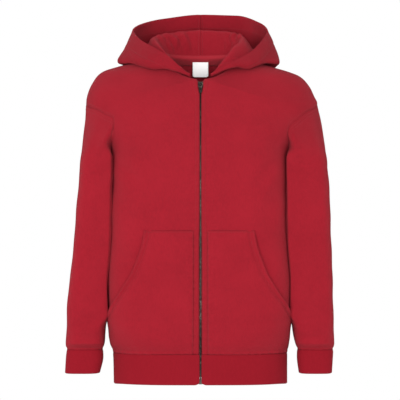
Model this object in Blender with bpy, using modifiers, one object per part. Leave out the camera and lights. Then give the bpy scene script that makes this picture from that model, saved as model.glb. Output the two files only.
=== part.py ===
"""Child's zip-front hooded sweatshirt, filled out as if worn, with the hood down.

Metres, +Z up.  The front faces -Y and the wearer's left is +X.  The origin lies
midway between the two points where the shoulder seams meet the neckline.

The body is a stack of ovals, read from the table TORSO.  A point on it is given
by a height and by "around", which runs from 0 at the middle of the front or back
to 1 at the side seam, and on the shoulder to the shoulder seam.  Each cloth piece
is an open surface on the wearer's side of the cloth, thickened outwards.
"""
import math
from collections import namedtuple

import bmesh
import bpy
import numpy
from mathutils import Matrix, Vector, kdtree

# ---------------------------------------------------------------- driving sizes

FLEECE = 0.0025            # thickness of the body cloth
RIB = 0.0025               # thickness of the cuffs and the hem band
POCKET_CLOTH = 0.0022
HOOD_CLOTH = 0.0026
SEAM = 0.0003              # gap between two pieces that are sewn together

NECK_HALF_WIDTH = 0.060
FRONT_NECK_DROP = 0.0417
BACK_NECK_DROP = 0.0020
NECK_ROUNDNESS = 1.6

SHOULDER_TIP = -0.0784     # height of the outer end of the shoulder seam
UNDERARM = -0.1680
BODY_END = -0.4737         # where the hem band is sewn on
HEM_TOP = BODY_END - SEAM
HEM_BOTTOM = -0.5210
SLEEVE_END = -0.4684
CUFF_TOP = SLEEVE_END - SEAM
CUFF_BOTTOM = -0.5064
SLEEVE_HANGS_FREE = -0.180  # below this height a sleeve's sections are level

POCKET_TOP = -0.2794
POCKET_FOOT = -0.4732
POCKET_START = 0.0105      # distance of a pocket's front edge from the middle
POCKET_SIDE = 0.993        # share of the half width at a pocket's side edge
POCKET_COLUMNS = 16
MOUTH_ROWS = 15            # cells along the slanted mouth
POCKET_GAP = 0.0009        # from a front's smooth face, so that its flat cells stay clear

COLUMNS = 12               # cells across a front panel
YOKE_ROWS = 10             # cells from the underarm to the shoulder seam
NECK_CORNER_ROW = 6        # the row that meets the neckline's lowest point
HOOD_COLUMNS = 22
HOOD_CELLS_PER_SPAN = 4

RIGHT, LEFT = -1, 1        # the wearer's sides, as the sign of X
FRONT, BACK = -1, 1        # as the sign of Y
SIDE_NAMES = {RIGHT: "right", LEFT: "left"}


def table(columns, *rows):
    """Rows of numbers with named columns."""
    row_type = namedtuple("Row", columns)
    return [row_type(*row) for row in rows]


# The body's outer face: half widths to each side, depths and squareness.
TORSO = table(
    "height right left front back square",
    (0.0000, 0.0600, 0.0600, 0.0200, 0.0360, 2.30),
    (-0.0020, 0.0665, 0.0655, 0.0245, 0.0415, 2.30),
    (-0.0050, 0.0770, 0.0740, 0.0300, 0.0470, 2.30),
    (-0.0110, 0.1000, 0.0920, 0.0390, 0.0540, 2.30),
    (-0.0190, 0.1320, 0.1130, 0.0480, 0.0605, 2.30),
    (-0.0270, 0.1560, 0.1400, 0.0550, 0.0660, 2.35),
    (-0.0340, 0.1650, 0.1575, 0.0600, 0.0705, 2.40),
    (-0.0417, 0.1705, 0.1670, 0.0645, 0.0745, 2.40),
    (-0.0530, 0.1768, 0.1755, 0.0705, 0.0795, 2.45),
    (-0.0660, 0.1812, 0.1815, 0.0760, 0.0840, 2.50),
    (-0.0784, 0.1832, 0.1869, 0.0805, 0.0875, 2.50),
    (-0.0950, 0.1790, 0.1815, 0.0855, 0.0910, 2.50),
    (-0.1150, 0.1680, 0.1700, 0.0905, 0.0945, 2.75),
    (-0.1350, 0.1540, 0.1535, 0.0940, 0.0970, 3.10),
    (-0.1520, 0.1435, 0.1405, 0.0960, 0.0985, 3.80),
    (-0.1680, 0.1410, 0.1365, 0.0970, 0.0990, 4.40),
    (-0.2300, 0.1430, 0.1375, 0.0960, 0.0980, 4.70),
    (-0.3000, 0.1445, 0.1392, 0.0950, 0.0960, 4.80),
    (-0.3600, 0.1485, 0.1430, 0.0950, 0.0950, 4.90),
    (-0.4200, 0.1466, 0.1419, 0.0940, 0.0940, 4.60),
    (-0.4420, 0.1452, 0.1412, 0.0920, 0.0920, 4.00),
    (-0.4580, 0.1432, 0.1402, 0.0880, 0.0885, 3.40),
    (-0.4700, 0.1402, 0.1388, 0.0830, 0.0840, 3.00),
    (-0.4760, 0.1398, 0.1386, 0.0822, 0.0832, 3.00),
    (-0.4850, 0.1392, 0.1385, 0.0810, 0.0820, 3.00),
    (-0.5210, 0.1385, 0.1385, 0.0790, 0.0800, 3.00),
)

# The armhole seam on the front, from the underarm (0) to the shoulder tip (1).
ARMHOLE = table(
    "share height_right around_right height_left around_left",
    (0.00, UNDERARM, 1.000, UNDERARM, 1.000),
    (0.16, -0.1570, 0.800, -0.1575, 0.800),
    (0.32, -0.1390, 0.640, -0.1425, 0.650),
    (0.44, -0.1200, 0.545, -0.1290, 0.570),
    (0.53, -0.1045, 0.521, -0.1170, 0.548),
    (0.61, -0.0990, 0.573, -0.1065, 0.602),
    (0.75, -0.0897, 0.648, -0.0930, 0.695),
    (1.00, SHOULDER_TIP, 1.000, SHOULDER_TIP, 1.000),
)

# Heights of a panel's rows below the underarm, closer where it blouses.
BODY_ROWS = (BODY_END, -0.4700, -0.4640, -0.4550, -0.4420, -0.4200,
             -0.3750, -0.3250, -0.2750, -0.2200, UNDERARM)
HEM_ROWS = (HEM_TOP, -0.4850, -0.5000, HEM_BOTTOM)

# A sleeve's outer face: distances from the middle plane, and depths along Y.
SLEEVE = table(
    "height outer_right inner_right outer_left inner_left front back",
    (SLEEVE_HANGS_FREE, 0.1921, 0.1350, 0.2021, 0.1322, -0.0790, 0.0690),
    (-0.2000, 0.1935, 0.1345, 0.2040, 0.1317, -0.0780, 0.0660),
    (-0.2320, 0.1960, 0.1335, 0.2056, 0.1305, -0.0760, 0.0600),
    (-0.2900, 0.2013, 0.1345, 0.2078, 0.1317, -0.0730, 0.0480),
    (-0.3400, 0.2055, 0.1378, 0.2092, 0.1350, -0.0700, 0.0380),
    (-0.4000, 0.2120, 0.1475, 0.2108, 0.1430, -0.0660, 0.0260),
    (-0.4400, 0.2138, 0.1512, 0.2123, 0.1465, -0.0630, 0.0180),
    (-0.4580, 0.2144, 0.1522, 0.2125, 0.1500, -0.0600, 0.0110),
    (-0.4635, 0.2138, 0.1536, 0.2118, 0.1520, -0.0535, 0.0000),
    (-0.4668, 0.2125, 0.1545, 0.2106, 0.1532, -0.0500, -0.0040),
    (SLEEVE_END, 0.2125, 0.1545, 0.2106, 0.1532, -0.0500, -0.0040),
)
CUFF = table(
    "height outer_right inner_right outer_left inner_left front back",
    (CUFF_TOP, 0.2125, 0.1545, 0.2106, 0.1532, -0.0500, -0.0040),
    (-0.4705, 0.2125, 0.1545, 0.2106, 0.1532, -0.0500, -0.0040),
    (-0.4800, 0.2135, 0.1542, 0.2102, 0.1530, -0.0490, -0.0030),
    (CUFF_BOTTOM, 0.2150, 0.1597, 0.2084, 0.1560, -0.0500, -0.0060),
)
SLEEVE_SQUARE = table(
    "height square",
    (SLEEVE_HANGS_FREE, 5.0),
    (-0.3600, 5.4),
    (-0.4200, 5.0),
    (-0.4500, 3.6),
    (SLEEVE_END, 3.0),
)
SLEEVE_AROUND = 28         # cells around a sleeve
SIDE_CLEARANCE = 0.0016    # from a sleeve's wall to the body's side that it rests on
RESTS_FROM = -0.148        # height at which a sleeve begins to rest on the side
RESTS_FULLY = -0.158
SHOULDER_ROWS = 5          # rows between the armhole and the first level section
SHOULDER_FULLNESS = {RIGHT: 0.0013, LEFT: 0.0045}   # of a sleeve's head, outwards
FULLNESS_END = 0.74        # share of the shoulder's length at which it has gone
CORNER_END = 0.45          # share at which its corners beside the body are full
CORNER_TURN = 0.14         # of those corners from the underarm, in turns
CORNER_WIDTH = 0.10
UNDERARM_ROOM = 2 * FLEECE + 6 * SEAM   # between the two walls that meet under the arm
ROOM_GROWTH = 0.7          # how fast the room opens from the tip to the underarm
ARMHOLE_DROP = 0.0005      # of a sleeve's first row below the armhole's edge

# Half of the gap between the two front edges, which the zip fills.
ZIP_GAP = table(
    "height half",
    (-0.0417, 0.0060),
    (-0.0600, 0.0057),
    (-0.0760, 0.0030),
    (-0.2600, 0.0027),
    (-0.3100, 0.0036),
    (HEM_BOTTOM, 0.0036),
)

# The slanted pocket mouth, from the pocket's top to its side edge.
POCKET_MOUTH = table(
    "height share",
    (POCKET_TOP, 0.612),
    (-0.2900, 0.618),
    (-0.3450, 0.726),
    (-0.3760, 0.847),
    (-0.4000, 0.950),
    (-0.4200, POCKET_SIDE),
)

# Sections of the hood in upright planes that stand around the neckline.  "turn"
# is the plane's angle from the front in degrees.  From the neck seam the cloth
# climbs to a crest, falls to the floor of the bag, and rises over its side to
# the rim of the face opening.  Each point is given outwards and up from the seam.
HOOD_COLUMN_NAMES = ("turn crest_out crest_up fall_out fall_up floor_out floor_up "
                     "side_out side_up rim_out rim_up")
HOOD = {
    RIGHT: table(
        HOOD_COLUMN_NAMES,
        (16, .0010, .0045, .0045, .0065, .0075, .0060, .0100, .0080, .0105, .0120),
        (30, .0010, .0060, .0060, .0072, .0110, .0030, .0155, .0055, .0160, .0155),
        (45, .0025, .0080, .0090, .0060, .0165, -.0030, .0215, .0025, .0185, .0200),
        (60, .0060, .0130, .0150, .0030, .0300, -.0130, .0370, -.0010, .0260, .0210),
        (75, .0120, .0190, .0250, .0050, .0450, -.0140, .0535, -.0045, .0370, .0240),
        (90, .0150, .0238, .0300, .0080, .0640, -.0125, .0706, -.0070, .0474, .0340),
        (105, .0175, .0280, .0330, .0050, .0630, -.0170, .0700, -.0015, .0530, .0430),
        (125, .0160, .0342, .0350, -.0050, .0620, -.0420, .0780, -.0050, .0560, .0544),
        (150, .0140, .0402, .0370, -.0200, .0660, -.0900, .0880, -.0350, .0590, .0658),
        (180, .0125, .0418, .0390, -.0300, .0680, -.1250, .0950, -.0500, .0560, .0734),
    ),
    LEFT: table(
        HOOD_COLUMN_NAMES,
        (16, .0010, .0055, .0050, .0070, .0085, .0055, .0115, .0080, .0120, .0120),
        (30, .0015, .0120, .0075, .0095, .0135, .0035, .0180, .0060, .0175, .0125),
        (45, .0028, .0180, .0105, .0110, .0190, .0000, .0250, .0025, .0225, .0115),
        (60, .0030, .0215, .0130, .0120, .0300, -.0110, .0370, -.0040, .0290, .0120),
        (75, .0060, .0215, .0200, .0110, .0430, -.0110, .0500, -.0040, .0370, .0190),
        (90, .0080, .0248, .0240, .0100, .0600, -.0150, .0670, -.0080, .0464, .0310),
        (105, .0120, .0290, .0290, .0060, .0600, -.0220, .0690, -.0020, .0525, .0418),
        (125, .0150, .0352, .0340, -.0050, .0620, -.0420, .0770, -.0070, .0570, .0564),
        (150, .0140, .0402, .0370, -.0200, .0660, -.0900, .0880, -.0350, .0590, .0708),
        (180, .0125, .0418, .0390, -.0300, .0680, -.1250, .0950, -.0500, .0560, .0734),
    ),
}
HOOD_START = 16            # degrees from the front, where the face opening begins
HOOD_NEAR_CENTRE = 177     # the last section before the centre seam
CENTRE_SEAM_START = 160    # where the halves begin to draw apart for the centre seam
NEAR_NECK_ROWS = 60        # samples of the body that the hood is kept clear of
NEAR_NECK_COLUMNS = 50
NEAR_NECK_FOOT = -0.170
HOOD_CLEARANCE = 0.0034    # from the hood's middle layer to the body it lies on

# Zip: depths are measured from the cloth's outer face back into the body.
CHAIN_HALF_WIDTH = 0.0027
CHAIN_THICKNESS = 0.0022
CHAIN_DEPTH = FLEECE + SEAM + CHAIN_THICKNESS / 2
TAPE_THICKNESS = 0.0006
TAPE_WIDTH = 0.0130
TAPE_STEP = 0.0022         # from the teeth's plane back to the tape's
TAPE_DEPTH = FLEECE + 2 * SEAM + TAPE_THICKNESS / 2
ZIP_TOP = -0.0435
SLIDER_HEIGHT = -0.0500    # height of the slider's middle
SLIDER_LENGTH = 0.0110
SLIDER_TOP_WIDTH = 0.0094
SLIDER_FOOT_WIDTH = 0.0066
SLIDER_PLATE = 0.0011
SLIDER_CLEARANCE = 0.0005  # between a plate and the teeth
CHAIN_START = 0.10         # share of the slider's length above which no teeth show
POST_WIDTH = 0.0030        # of the wedge that joins the slider's two plates
POST_LENGTH = SLIDER_LENGTH * 0.30
POST_SETBACK = 0.0004      # from the plates' top edge
WELD = 0.0003              # depth to which joined pieces of metal sink in
FRONT_PLATE_FACE = CHAIN_DEPTH - CHAIN_THICKNESS / 2 - SLIDER_CLEARANCE - SLIDER_PLATE
BAIL_WIDTH = 0.0011
BAIL_RISE = 0.0032         # how far the bail stands out from the front plate
BAIL_HALF_LENGTH = 0.0028
PULL_AXIS_DEPTH = FRONT_PLATE_FACE - (BAIL_RISE - BAIL_WIDTH / 2) / 2
PULL_AXIS_HEIGHT = 0.0008
EYE_BAR = 0.0011           # thickness of the tab's bar that runs through the bail
PULL_LENGTH = 0.0165
PULL_WIDTH = 0.0054
PULL_THICKNESS = 0.0011
EYE_PLAY = 0.0005          # free room around the bail inside the eye
EYE_LENGTH = PULL_AXIS_HEIGHT + BAIL_HALF_LENGTH + BAIL_WIDTH + EYE_PLAY
EYE_LEG = (PULL_WIDTH - BAIL_WIDTH) / 2 - EYE_PLAY
BOX_LENGTH = 0.0080
BOX_SETBACK = 0.0010       # of the retainer box behind the cloth's outer face
BOX_LIFT = 0.0005          # of its foot above the hem
BOX_TRIM = 0.0001          # by which each side is narrower than the teeth

NECK_TAPE_REACH = 80.0     # degrees to each side of the middle of the back
NECK_TAPE_COLUMNS = 28
NECK_TAPE_CLOTH = 0.0010
NECK_TAPE_RISE = 0.0030    # of its upper edge above the neck seam
NECK_TAPE_DROP = 0.0075    # of its lower edge below the neck seam
NECK_TAPE_LAY = 0.0036     # of its lower edge inside the back's inner face
NECK_TAPE_SPREAD = 1.02    # of its lower edge, outwards as the shoulders do
NECK_TAPE_GAP = 0.0012     # from its middle to the hood's inner face
NECK_TAPE_SAG = 0.0008     # of its middle below the neck seam

LABEL_WIDTH = 0.0250
LABEL_HEIGHT = 0.0240
LABEL_TOP = -0.0092
LABEL_OUT = 0.0404         # its distance behind the neck's middle
LABEL_THICKNESS = 0.0008
LABEL_LEAN = 0.0015        # of its foot, backwards
LABEL_CELLS = 4

FLEECE_RED = (0.40, 0.014, 0.028, 1.0)
RIB_RED = (0.33, 0.010, 0.021, 1.0)
TAPE_RED = (0.28, 0.010, 0.020, 1.0)
LABEL_WHITE = (0.88, 0.88, 0.87, 1.0)
ZIP_METAL = (0.085, 0.065, 0.055, 1.0)

COLLECTION = bpy.data.collections.new("kids_zip_hoodie")


# ------------------------------------------------------------------- the tools

class Curve:
    """Smooth curve through one column of a table, without overshoot."""

    def __init__(self, rows, column, key="height", level_end=False):
        pairs = sorted((getattr(row, key), getattr(row, column)) for row in rows)
        self.keys = numpy.array([pair[0] for pair in pairs])
        self.values = numpy.array([pair[1] for pair in pairs])
        slopes = numpy.diff(self.values) / numpy.diff(self.keys)
        self.tangents = numpy.zeros(len(pairs))
        self.tangents[0] = slopes[0]
        self.tangents[-1] = 0.0 if level_end else slopes[-1]
        for index in range(1, len(slopes)):
            before, after = slopes[index - 1], slopes[index]
            if before * after > 0:
                self.tangents[index] = 2 * before * after / (before + after)

    def __call__(self, position):
        last = len(self.keys) - 2
        index = int(numpy.clip(numpy.searchsorted(self.keys, position) - 1, 0, last))
        span = self.keys[index + 1] - self.keys[index]
        share = float(numpy.clip((position - self.keys[index]) / span, 0, 1))
        start, end = self.values[index], self.values[index + 1]
        leaving, arriving = self.tangents[index] * span, self.tangents[index + 1] * span
        return ((1 + 2 * share) * (1 - share) ** 2 * start
                + share * (1 - share) ** 2 * leaving
                + share ** 2 * (3 - 2 * share) * end
                + share ** 2 * (share - 1) * arriving)


TORSO_CURVES = {name: Curve(TORSO, name) for name in ("right", "left", "front", "back", "square")}
YOKE = [row for row in TORSO if row.height >= SHOULDER_TIP]
RIDGE = {side: Curve(YOKE, "height", key=SIDE_NAMES[side]) for side in (RIGHT, LEFT)}
ARMHOLE_HEIGHT = {side: Curve(ARMHOLE, "height_" + SIDE_NAMES[side], key="share")
                  for side in (RIGHT, LEFT)}
ARMHOLE_AROUND = {side: Curve(ARMHOLE, "around_" + SIDE_NAMES[side], key="share")
                  for side in (RIGHT, LEFT)}
GAP = Curve(ZIP_GAP, "half")
MOUTH = Curve(POCKET_MOUTH, "share")
SQUARE = Curve(SLEEVE_SQUARE, "square")


def blend(start, end, share):
    """Value between two numbers or vectors."""
    return start * (1 - share) + end * share


def steps(count):
    """Even shares from 0 to 1."""
    return [index / count for index in range(count + 1)]


def ease(share):
    """Share that leaves and arrives gently."""
    return share * share * (3 - 2 * share)


def oval(angle, half_width, half_depth, square):
    """Point of a squared oval; angle 0 is on the depth axis."""
    sine, cosine = math.sin(angle), math.cos(angle)
    reach = (abs(sine) ** square + abs(cosine) ** square) ** (1 / square)
    return half_width * sine / reach, half_depth * cosine / reach


def torso_sizes(side, face, height):
    """Half width, depth and squareness of the body's outer face at a height."""
    width = TORSO_CURVES[SIDE_NAMES[side]](height)
    depth = TORSO_CURVES["front" if face == FRONT else "back"](height)
    return width, depth, TORSO_CURVES["square"](height)


def torso_point(side, face, around, height):
    """Point on the body's outer face."""
    width, depth, square = torso_sizes(side, face, height)
    across, out = oval(around * math.pi / 2, width, depth, square)
    return Vector((side * across, face * (out + SEAM / 2), height))


def torso_normal(side, face, around, height):
    """Outward direction of the body's outer face."""
    little = 0.0002
    step = -0.01 if around > 0.5 else 0.01
    here = torso_point(side, face, around, height)
    along = (torso_point(side, face, around + step, height) - here) / step
    down = here - torso_point(side, face, around, height - little)
    normal = along.cross(down).normalized()
    return normal * (side * -face)


def torso_layer(side, face, around, height, outwards):
    """Point at a distance outside the body's outer face, or inside if negative."""
    normal = torso_normal(side, face, around, height)
    return torso_point(side, face, around, height) + normal * outwards


def around_at(side, face, across, height):
    """The "around" of the point that lies at a distance from the middle plane."""
    width, _, square = torso_sizes(side, face, height)
    share = min(across / width, 1.0) ** square
    return math.atan2(share ** (1 / square), (1 - share) ** (1 / square)) * 2 / math.pi


def neckline(side, face, turn):
    """Height and around of the neckline at an angle from the front or the back."""
    drop = FRONT_NECK_DROP if face == FRONT else BACK_NECK_DROP
    height = -drop * max(math.cos(turn), 0.0) ** NECK_ROUNDNESS
    return height, around_at(side, face, NECK_HALF_WIDTH * math.sin(turn), height)


def yoke_samples():
    """Closely spaced points of the body's outer face near the neck, with normals."""
    samples = []
    for side in (RIGHT, LEFT):
        for face in (FRONT, BACK):
            for depth in steps(NEAR_NECK_ROWS):
                height = NEAR_NECK_FOOT * depth ** 1.5
                for around in steps(NEAR_NECK_COLUMNS):
                    samples.append((torso_point(side, face, around, height),
                                    torso_normal(side, face, around, height)))
    return samples


def nearby_finder(samples):
    """Search tree over the sample points."""
    tree = kdtree.KDTree(len(samples))
    for index, (point, _) in enumerate(samples):
        tree.insert(point, index)
    tree.balance()
    return tree


def outside_torso(point, distance):
    """The point, pushed out where it is nearer to the body than a distance."""
    for _ in range(4):
        nearest, index, _ = YOKE_TREE.find(point)
        normal = YOKE_SAMPLES[index][1]
        gap = (point - nearest).dot(normal)
        aside = (point - nearest - normal * gap).length
        if gap >= distance or aside > 2 * distance:
            break
        point = point + normal * (distance - gap)
    return point


YOKE_SAMPLES = yoke_samples()
YOKE_TREE = nearby_finder(YOKE_SAMPLES)


def smooth_path(points, cells):
    """Even samples of a rounded curve through points, cells to each span."""
    ends = [points[0] * 2 - points[1]] + points + [points[-1] * 2 - points[-2]]
    path = []
    for index in range(len(points) - 1):
        before, start, end, after = ends[index:index + 4]
        for step in range(cells):
            t = step / cells
            path.append(0.5 * (2 * start + (end - before) * t
                               + (2 * before - 5 * start + 4 * end - after) * t * t
                               + (3 * start - before - 3 * end + after) * t ** 3))
    return path + [points[-1]]


# --------------------------------------------------------------- making objects

def material(name, colour, roughness, metallic=0.0):
    """Principled material of one colour."""
    made = bpy.data.materials.new(name)
    made.use_nodes = True
    shader = made.node_tree.nodes["Principled BSDF"]
    shader.inputs["Base Color"].default_value = colour
    shader.inputs["Roughness"].default_value = roughness
    shader.inputs["Metallic"].default_value = metallic
    made.diffuse_color = colour
    return made


FLEECE_LOOK = material("red_fleece", FLEECE_RED, 0.95)
RIB_LOOK = material("red_rib_knit", RIB_RED, 0.95)
TAPE_LOOK = material("red_woven_tape", TAPE_RED, 0.85)
LABEL_LOOK = material("white_woven_label", LABEL_WHITE, 0.70)
METAL_LOOK = material("dark_zip_metal", ZIP_METAL, 0.38, 1.0)


def add_object(name, mesh, look):
    """Object of its own in the garment's collection."""
    made = bpy.data.objects.new(name, mesh)
    mesh.materials.append(look)
    COLLECTION.objects.link(made)
    return made


def grid_mesh(name, rows, closed=False):
    """Open surface through rows of points; a closed one joins each row's ends."""
    mesh = bpy.data.meshes.new(name)
    form = bmesh.new()
    lines = [[form.verts.new(point) for point in row] for row in rows]
    for lower, upper in zip(lines, lines[1:]):
        count = len(lower)
        for index in range(count if closed else count - 1):
            after = (index + 1) % count
            form.faces.new((lower[index], lower[after], upper[after], upper[index]))
    bmesh.ops.remove_doubles(form, verts=form.verts[:], dist=0.00002)
    bmesh.ops.recalc_face_normals(form, faces=form.faces[:])
    form.to_mesh(mesh)
    form.free()
    mesh.shade_smooth()
    return mesh


def face_out(mesh, outwards):
    """Turns an open surface so that its first face looks along a direction."""
    if mesh.polygons[0].normal.dot(outwards) < 0:
        mesh.flip_normals()


def cloth(name, rows, thickness, look, outwards, closed=False, centred=False):
    """A wall of cloth on a surface: outwards from it, or to both sides of it."""
    mesh = grid_mesh(name, rows, closed)
    face_out(mesh, outwards)
    made = add_object(name, mesh, look)
    wall = made.modifiers.new("Thickness", "SOLIDIFY")
    wall.thickness = thickness
    wall.offset = 0.0 if centred else 1.0
    wall.use_even_offset = True
    return made


def solid_from(name, form, look):
    """Object from a bmesh."""
    mesh = bpy.data.meshes.new(name)
    bmesh.ops.recalc_face_normals(form, faces=form.faces[:])
    form.to_mesh(mesh)
    form.free()
    return add_object(name, mesh, look)


# ------------------------------------------------------------------ body panels

def yoke_edge(side, face, share):
    """Inner end of a yoke row: on the middle line, then along the neckline."""
    corner = NECK_CORNER_ROW / YOKE_ROWS
    start_height, start_around = neckline(side, face, neck_start_turn(face))
    if share <= corner:
        height = blend(UNDERARM, start_height, share / corner)
        return height, middle_around(side, face, height)
    turn = blend(neck_start_turn(face), math.pi / 2, (share - corner) / (1 - corner))
    height, around = neckline(side, face, turn)
    return height, max(around, start_around)


def neck_start_turn(face):
    """Angle at which the neckline meets the panel's middle edge."""
    if face == BACK:
        return 0.0
    return math.asin(GAP(-FRONT_NECK_DROP) / NECK_HALF_WIDTH)


def middle_around(side, face, height):
    """Around of a panel's middle edge: the zip gap in front, the centre behind."""
    if face == BACK:
        return 0.0
    return around_at(side, face, GAP(height), height)


def panel_rows(side, face):
    """Grid of (height, around) over half of the front or of the back."""
    rows = []
    for height in BODY_ROWS[:-1]:
        start = middle_around(side, face, height)
        rows.append([(height, blend(start, 1.0, u)) for u in steps(COLUMNS)])
    width_at_tip = torso_sizes(side, face, SHOULDER_TIP)[0]
    for share in steps(YOKE_ROWS):
        inner_height, inner_around = yoke_edge(side, face, share)
        outer_height, outer_around = ARMHOLE_HEIGHT[side](share), ARMHOLE_AROUND[side](share)
        row = []
        for u in steps(COLUMNS):
            across = blend(NECK_HALF_WIDTH, width_at_tip, u)
            arch = RIDGE[side](across) - blend(0.0, SHOULDER_TIP, u)
            height = blend(inner_height, outer_height, u) + share ** 2 * arch
            row.append((height, blend(inner_around, outer_around, u)))
        rows.append(row)
    return rows


def panel_points(side, face):
    """The same grid as points on the inner face of the cloth."""
    return [[torso_layer(side, face, around, height, -FLEECE) for height, around in row]
            for row in panel_rows(side, face)]


def make_fronts():
    """Two front panels, from the zip to the side seams."""
    for side in (RIGHT, LEFT):
        cloth("front_" + SIDE_NAMES[side], panel_points(side, FRONT), FLEECE,
              FLEECE_LOOK, Vector((0, FRONT, 0)))


def make_back():
    """One back panel, made of two halves that meet on the centre line."""
    halves = bmesh.new()
    for side in (RIGHT, LEFT):
        mesh = grid_mesh("half", panel_points(side, BACK))
        face_out(mesh, Vector((0, BACK, 0)))
        halves.from_mesh(mesh)
        bpy.data.meshes.remove(mesh)
    bmesh.ops.remove_doubles(halves, verts=halves.verts[:], dist=0.00005)
    mesh = bpy.data.meshes.new("back")
    halves.to_mesh(mesh)
    halves.free()
    mesh.shade_smooth()
    made = add_object("back", mesh, FLEECE_LOOK)
    wall = made.modifiers.new("Thickness", "SOLIDIFY")
    wall.thickness = FLEECE
    wall.offset = 1.0
    wall.use_even_offset = True


def make_hem_rib():
    """Rib band around the hem, open at the zip."""
    rows = []
    for height in HEM_ROWS:
        row = []
        for side, face, order in ((RIGHT, FRONT, 1), (RIGHT, BACK, -1),
                                  (LEFT, BACK, 1), (LEFT, FRONT, -1)):
            start = middle_around(side, face, height)
            shares = [blend(start, 1.0, u) for u in steps(COLUMNS)][::order]
            points = [torso_layer(side, face, around, height, -RIB) for around in shares]
            for point in points:
                point.y -= face * SEAM / 2
            row += points
        rows.append(row)
    cloth("hem_rib", rows, RIB, RIB_LOOK, Vector((0, FRONT, 0)))


def make_pockets():
    """Two patch pockets on the fronts, with slanted mouths."""
    mouth_foot = POCKET_MOUTH[-1].height
    heights = [POCKET_FOOT] + [row for row in BODY_ROWS[1:] if row < mouth_foot]
    heights += [blend(mouth_foot, POCKET_TOP, share) for share in steps(MOUTH_ROWS)]
    for side in (RIGHT, LEFT):
        rows = []
        for height in heights:
            start = around_at(side, FRONT, POCKET_START, height)
            half_width = torso_sizes(side, FRONT, height)[0]
            end = around_at(side, FRONT, MOUTH(height) * half_width, height)
            lines = [blend(start, end, u) for u in steps(POCKET_COLUMNS)]
            rows.append([torso_layer(side, FRONT, line, height, POCKET_GAP) for line in lines])
        cloth("pocket_" + SIDE_NAMES[side], rows, POCKET_CLOTH, FLEECE_LOOK,
              Vector((0, FRONT, 0)))


# ---------------------------------------------------------------------- sleeves

def armhole_ring(side):
    """Points around a sleeve's top, from the tip over the front to the underarm."""
    half = SLEEVE_AROUND // 2
    ring = []
    for index in range(SLEEVE_AROUND):
        face = FRONT if index <= half else BACK
        share = abs(half - index) / half
        point = torso_layer(side, face, ARMHOLE_AROUND[side](share), ARMHOLE_HEIGHT[side](share), -FLEECE)
        low = 1 - share
        apart = UNDERARM_ROOM * low ** ROOM_GROWTH
        point += Vector((side * apart, 0, -ARMHOLE_DROP * (1 + low)))
        ring.append(point)
    return ring


def sleeve_section(row, side, thickness):
    """Level oval of a sleeve or cuff, on the inner face of its cloth."""
    outer = getattr(row, "outer_" + SIDE_NAMES[side]) - thickness
    inner = getattr(row, "inner_" + SIDE_NAMES[side]) + thickness
    half_depth = (row.back - row.front) / 2 - thickness
    middle = (row.back + row.front) / 2
    section = []
    for index in range(SLEEVE_AROUND):
        angle = math.pi / 2 + 2 * math.pi * index / SLEEVE_AROUND
        across, out = oval(angle, (outer - inner) / 2, half_depth, SQUARE(row.height))
        section.append(Vector((side * ((outer + inner) / 2 + across), middle + out, row.height)))
    return section


def clear_of_side(point, side):
    """Point of a sleeve, moved outwards where the body's side is in its way."""
    width, depth, square = torso_sizes(side, FRONT if point.y < 0 else BACK, point.z)
    share = min(abs(point.y) / depth, 1.0)
    wall = width * (1 - share ** square) ** (1 / square) + FLEECE + SIDE_CLEARANCE
    resting = ease(min(1.0, max(0.0, (RESTS_FROM - point.z) / (RESTS_FROM - RESTS_FULLY))))
    move = max(0.0, wall - side * point.x) * resting
    return point + Vector((side * move, 0, 0))


def make_sleeves():
    """Two tubes from the armholes to the cuffs, hanging beside the body."""
    for side in (RIGHT, LEFT):
        top = armhole_ring(side)
        first = sleeve_section(SLEEVE[0], side, FLEECE)
        rows = []
        for share in steps(SHOULDER_ROWS)[:-1]:
            row = []
            full = SHOULDER_FULLNESS[side] * math.sin(math.pi * min(1.0, share / FULLNESS_END))
            for index, (start, end) in enumerate(zip(top, first)):
                turn = abs(index / SLEEVE_AROUND - 0.5)
                corner = math.exp(-((turn - CORNER_TURN) / CORNER_WIDTH) ** 2)
                early = ease(min(1.0, share / CORNER_END))
                point = blend(start, end, blend(ease(share), early, corner))
                point.z = blend(start.z, end.z, share)
                point.x += side * full * ease(2 * turn)
                row.append(point)
            rows.append(row)
        rows += [sleeve_section(row, side, FLEECE) for row in SLEEVE]
        rows[1:] = [[clear_of_side(point, side) for point in row] for row in rows[1:]]
        cloth("sleeve_" + SIDE_NAMES[side], rows, FLEECE, FLEECE_LOOK,
              Vector((side, 0, 0)), closed=True)


def make_cuffs():
    """Rib cuffs below the sleeves."""
    for side in (RIGHT, LEFT):
        rows = [sleeve_section(row, side, RIB) for row in CUFF]
        cloth("cuff_" + SIDE_NAMES[side], rows, RIB, RIB_LOOK,
              Vector((side, 0, 0)), closed=True)


# ------------------------------------------------------------------------- hood

def hood_section(side, turn):
    """The hood's middle layer in one upright plane at an angle from the front."""
    angle = math.radians(turn)
    face = FRONT if turn < 90 else BACK
    height, around = neckline(side, face, angle if face == FRONT else math.pi - angle)
    seam = torso_layer(side, face, around, height, -FLEECE / 2)
    outwards = Vector((side * math.sin(angle), -math.cos(angle), 0))
    upwards = Vector((0, 0, 1))
    seam += upwards * (FLEECE / 2 + 3 * SEAM) - outwards * HOOD_CLOTH / 2
    stations = [seam]
    for place in ("crest", "fall", "floor", "side", "rim"):
        out = HOOD_CURVES[side, place + "_out"](turn)
        rise = HOOD_CURVES[side, place + "_up"](turn)
        stations.append(seam + outwards * out + upwards * rise)
    path = smooth_path(stations, HOOD_CELLS_PER_SPAN)
    climb = HOOD_CELLS_PER_SPAN
    path = path[:climb] + [outside_torso(point, HOOD_CLEARANCE) for point in path[climb:]]
    drawn = (turn - CENTRE_SEAM_START) / (180 - CENTRE_SEAM_START)
    shift = side * SEAM * ease(max(0.0, drawn))
    return [point + Vector((shift, 0, 0)) for point in path]


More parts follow.
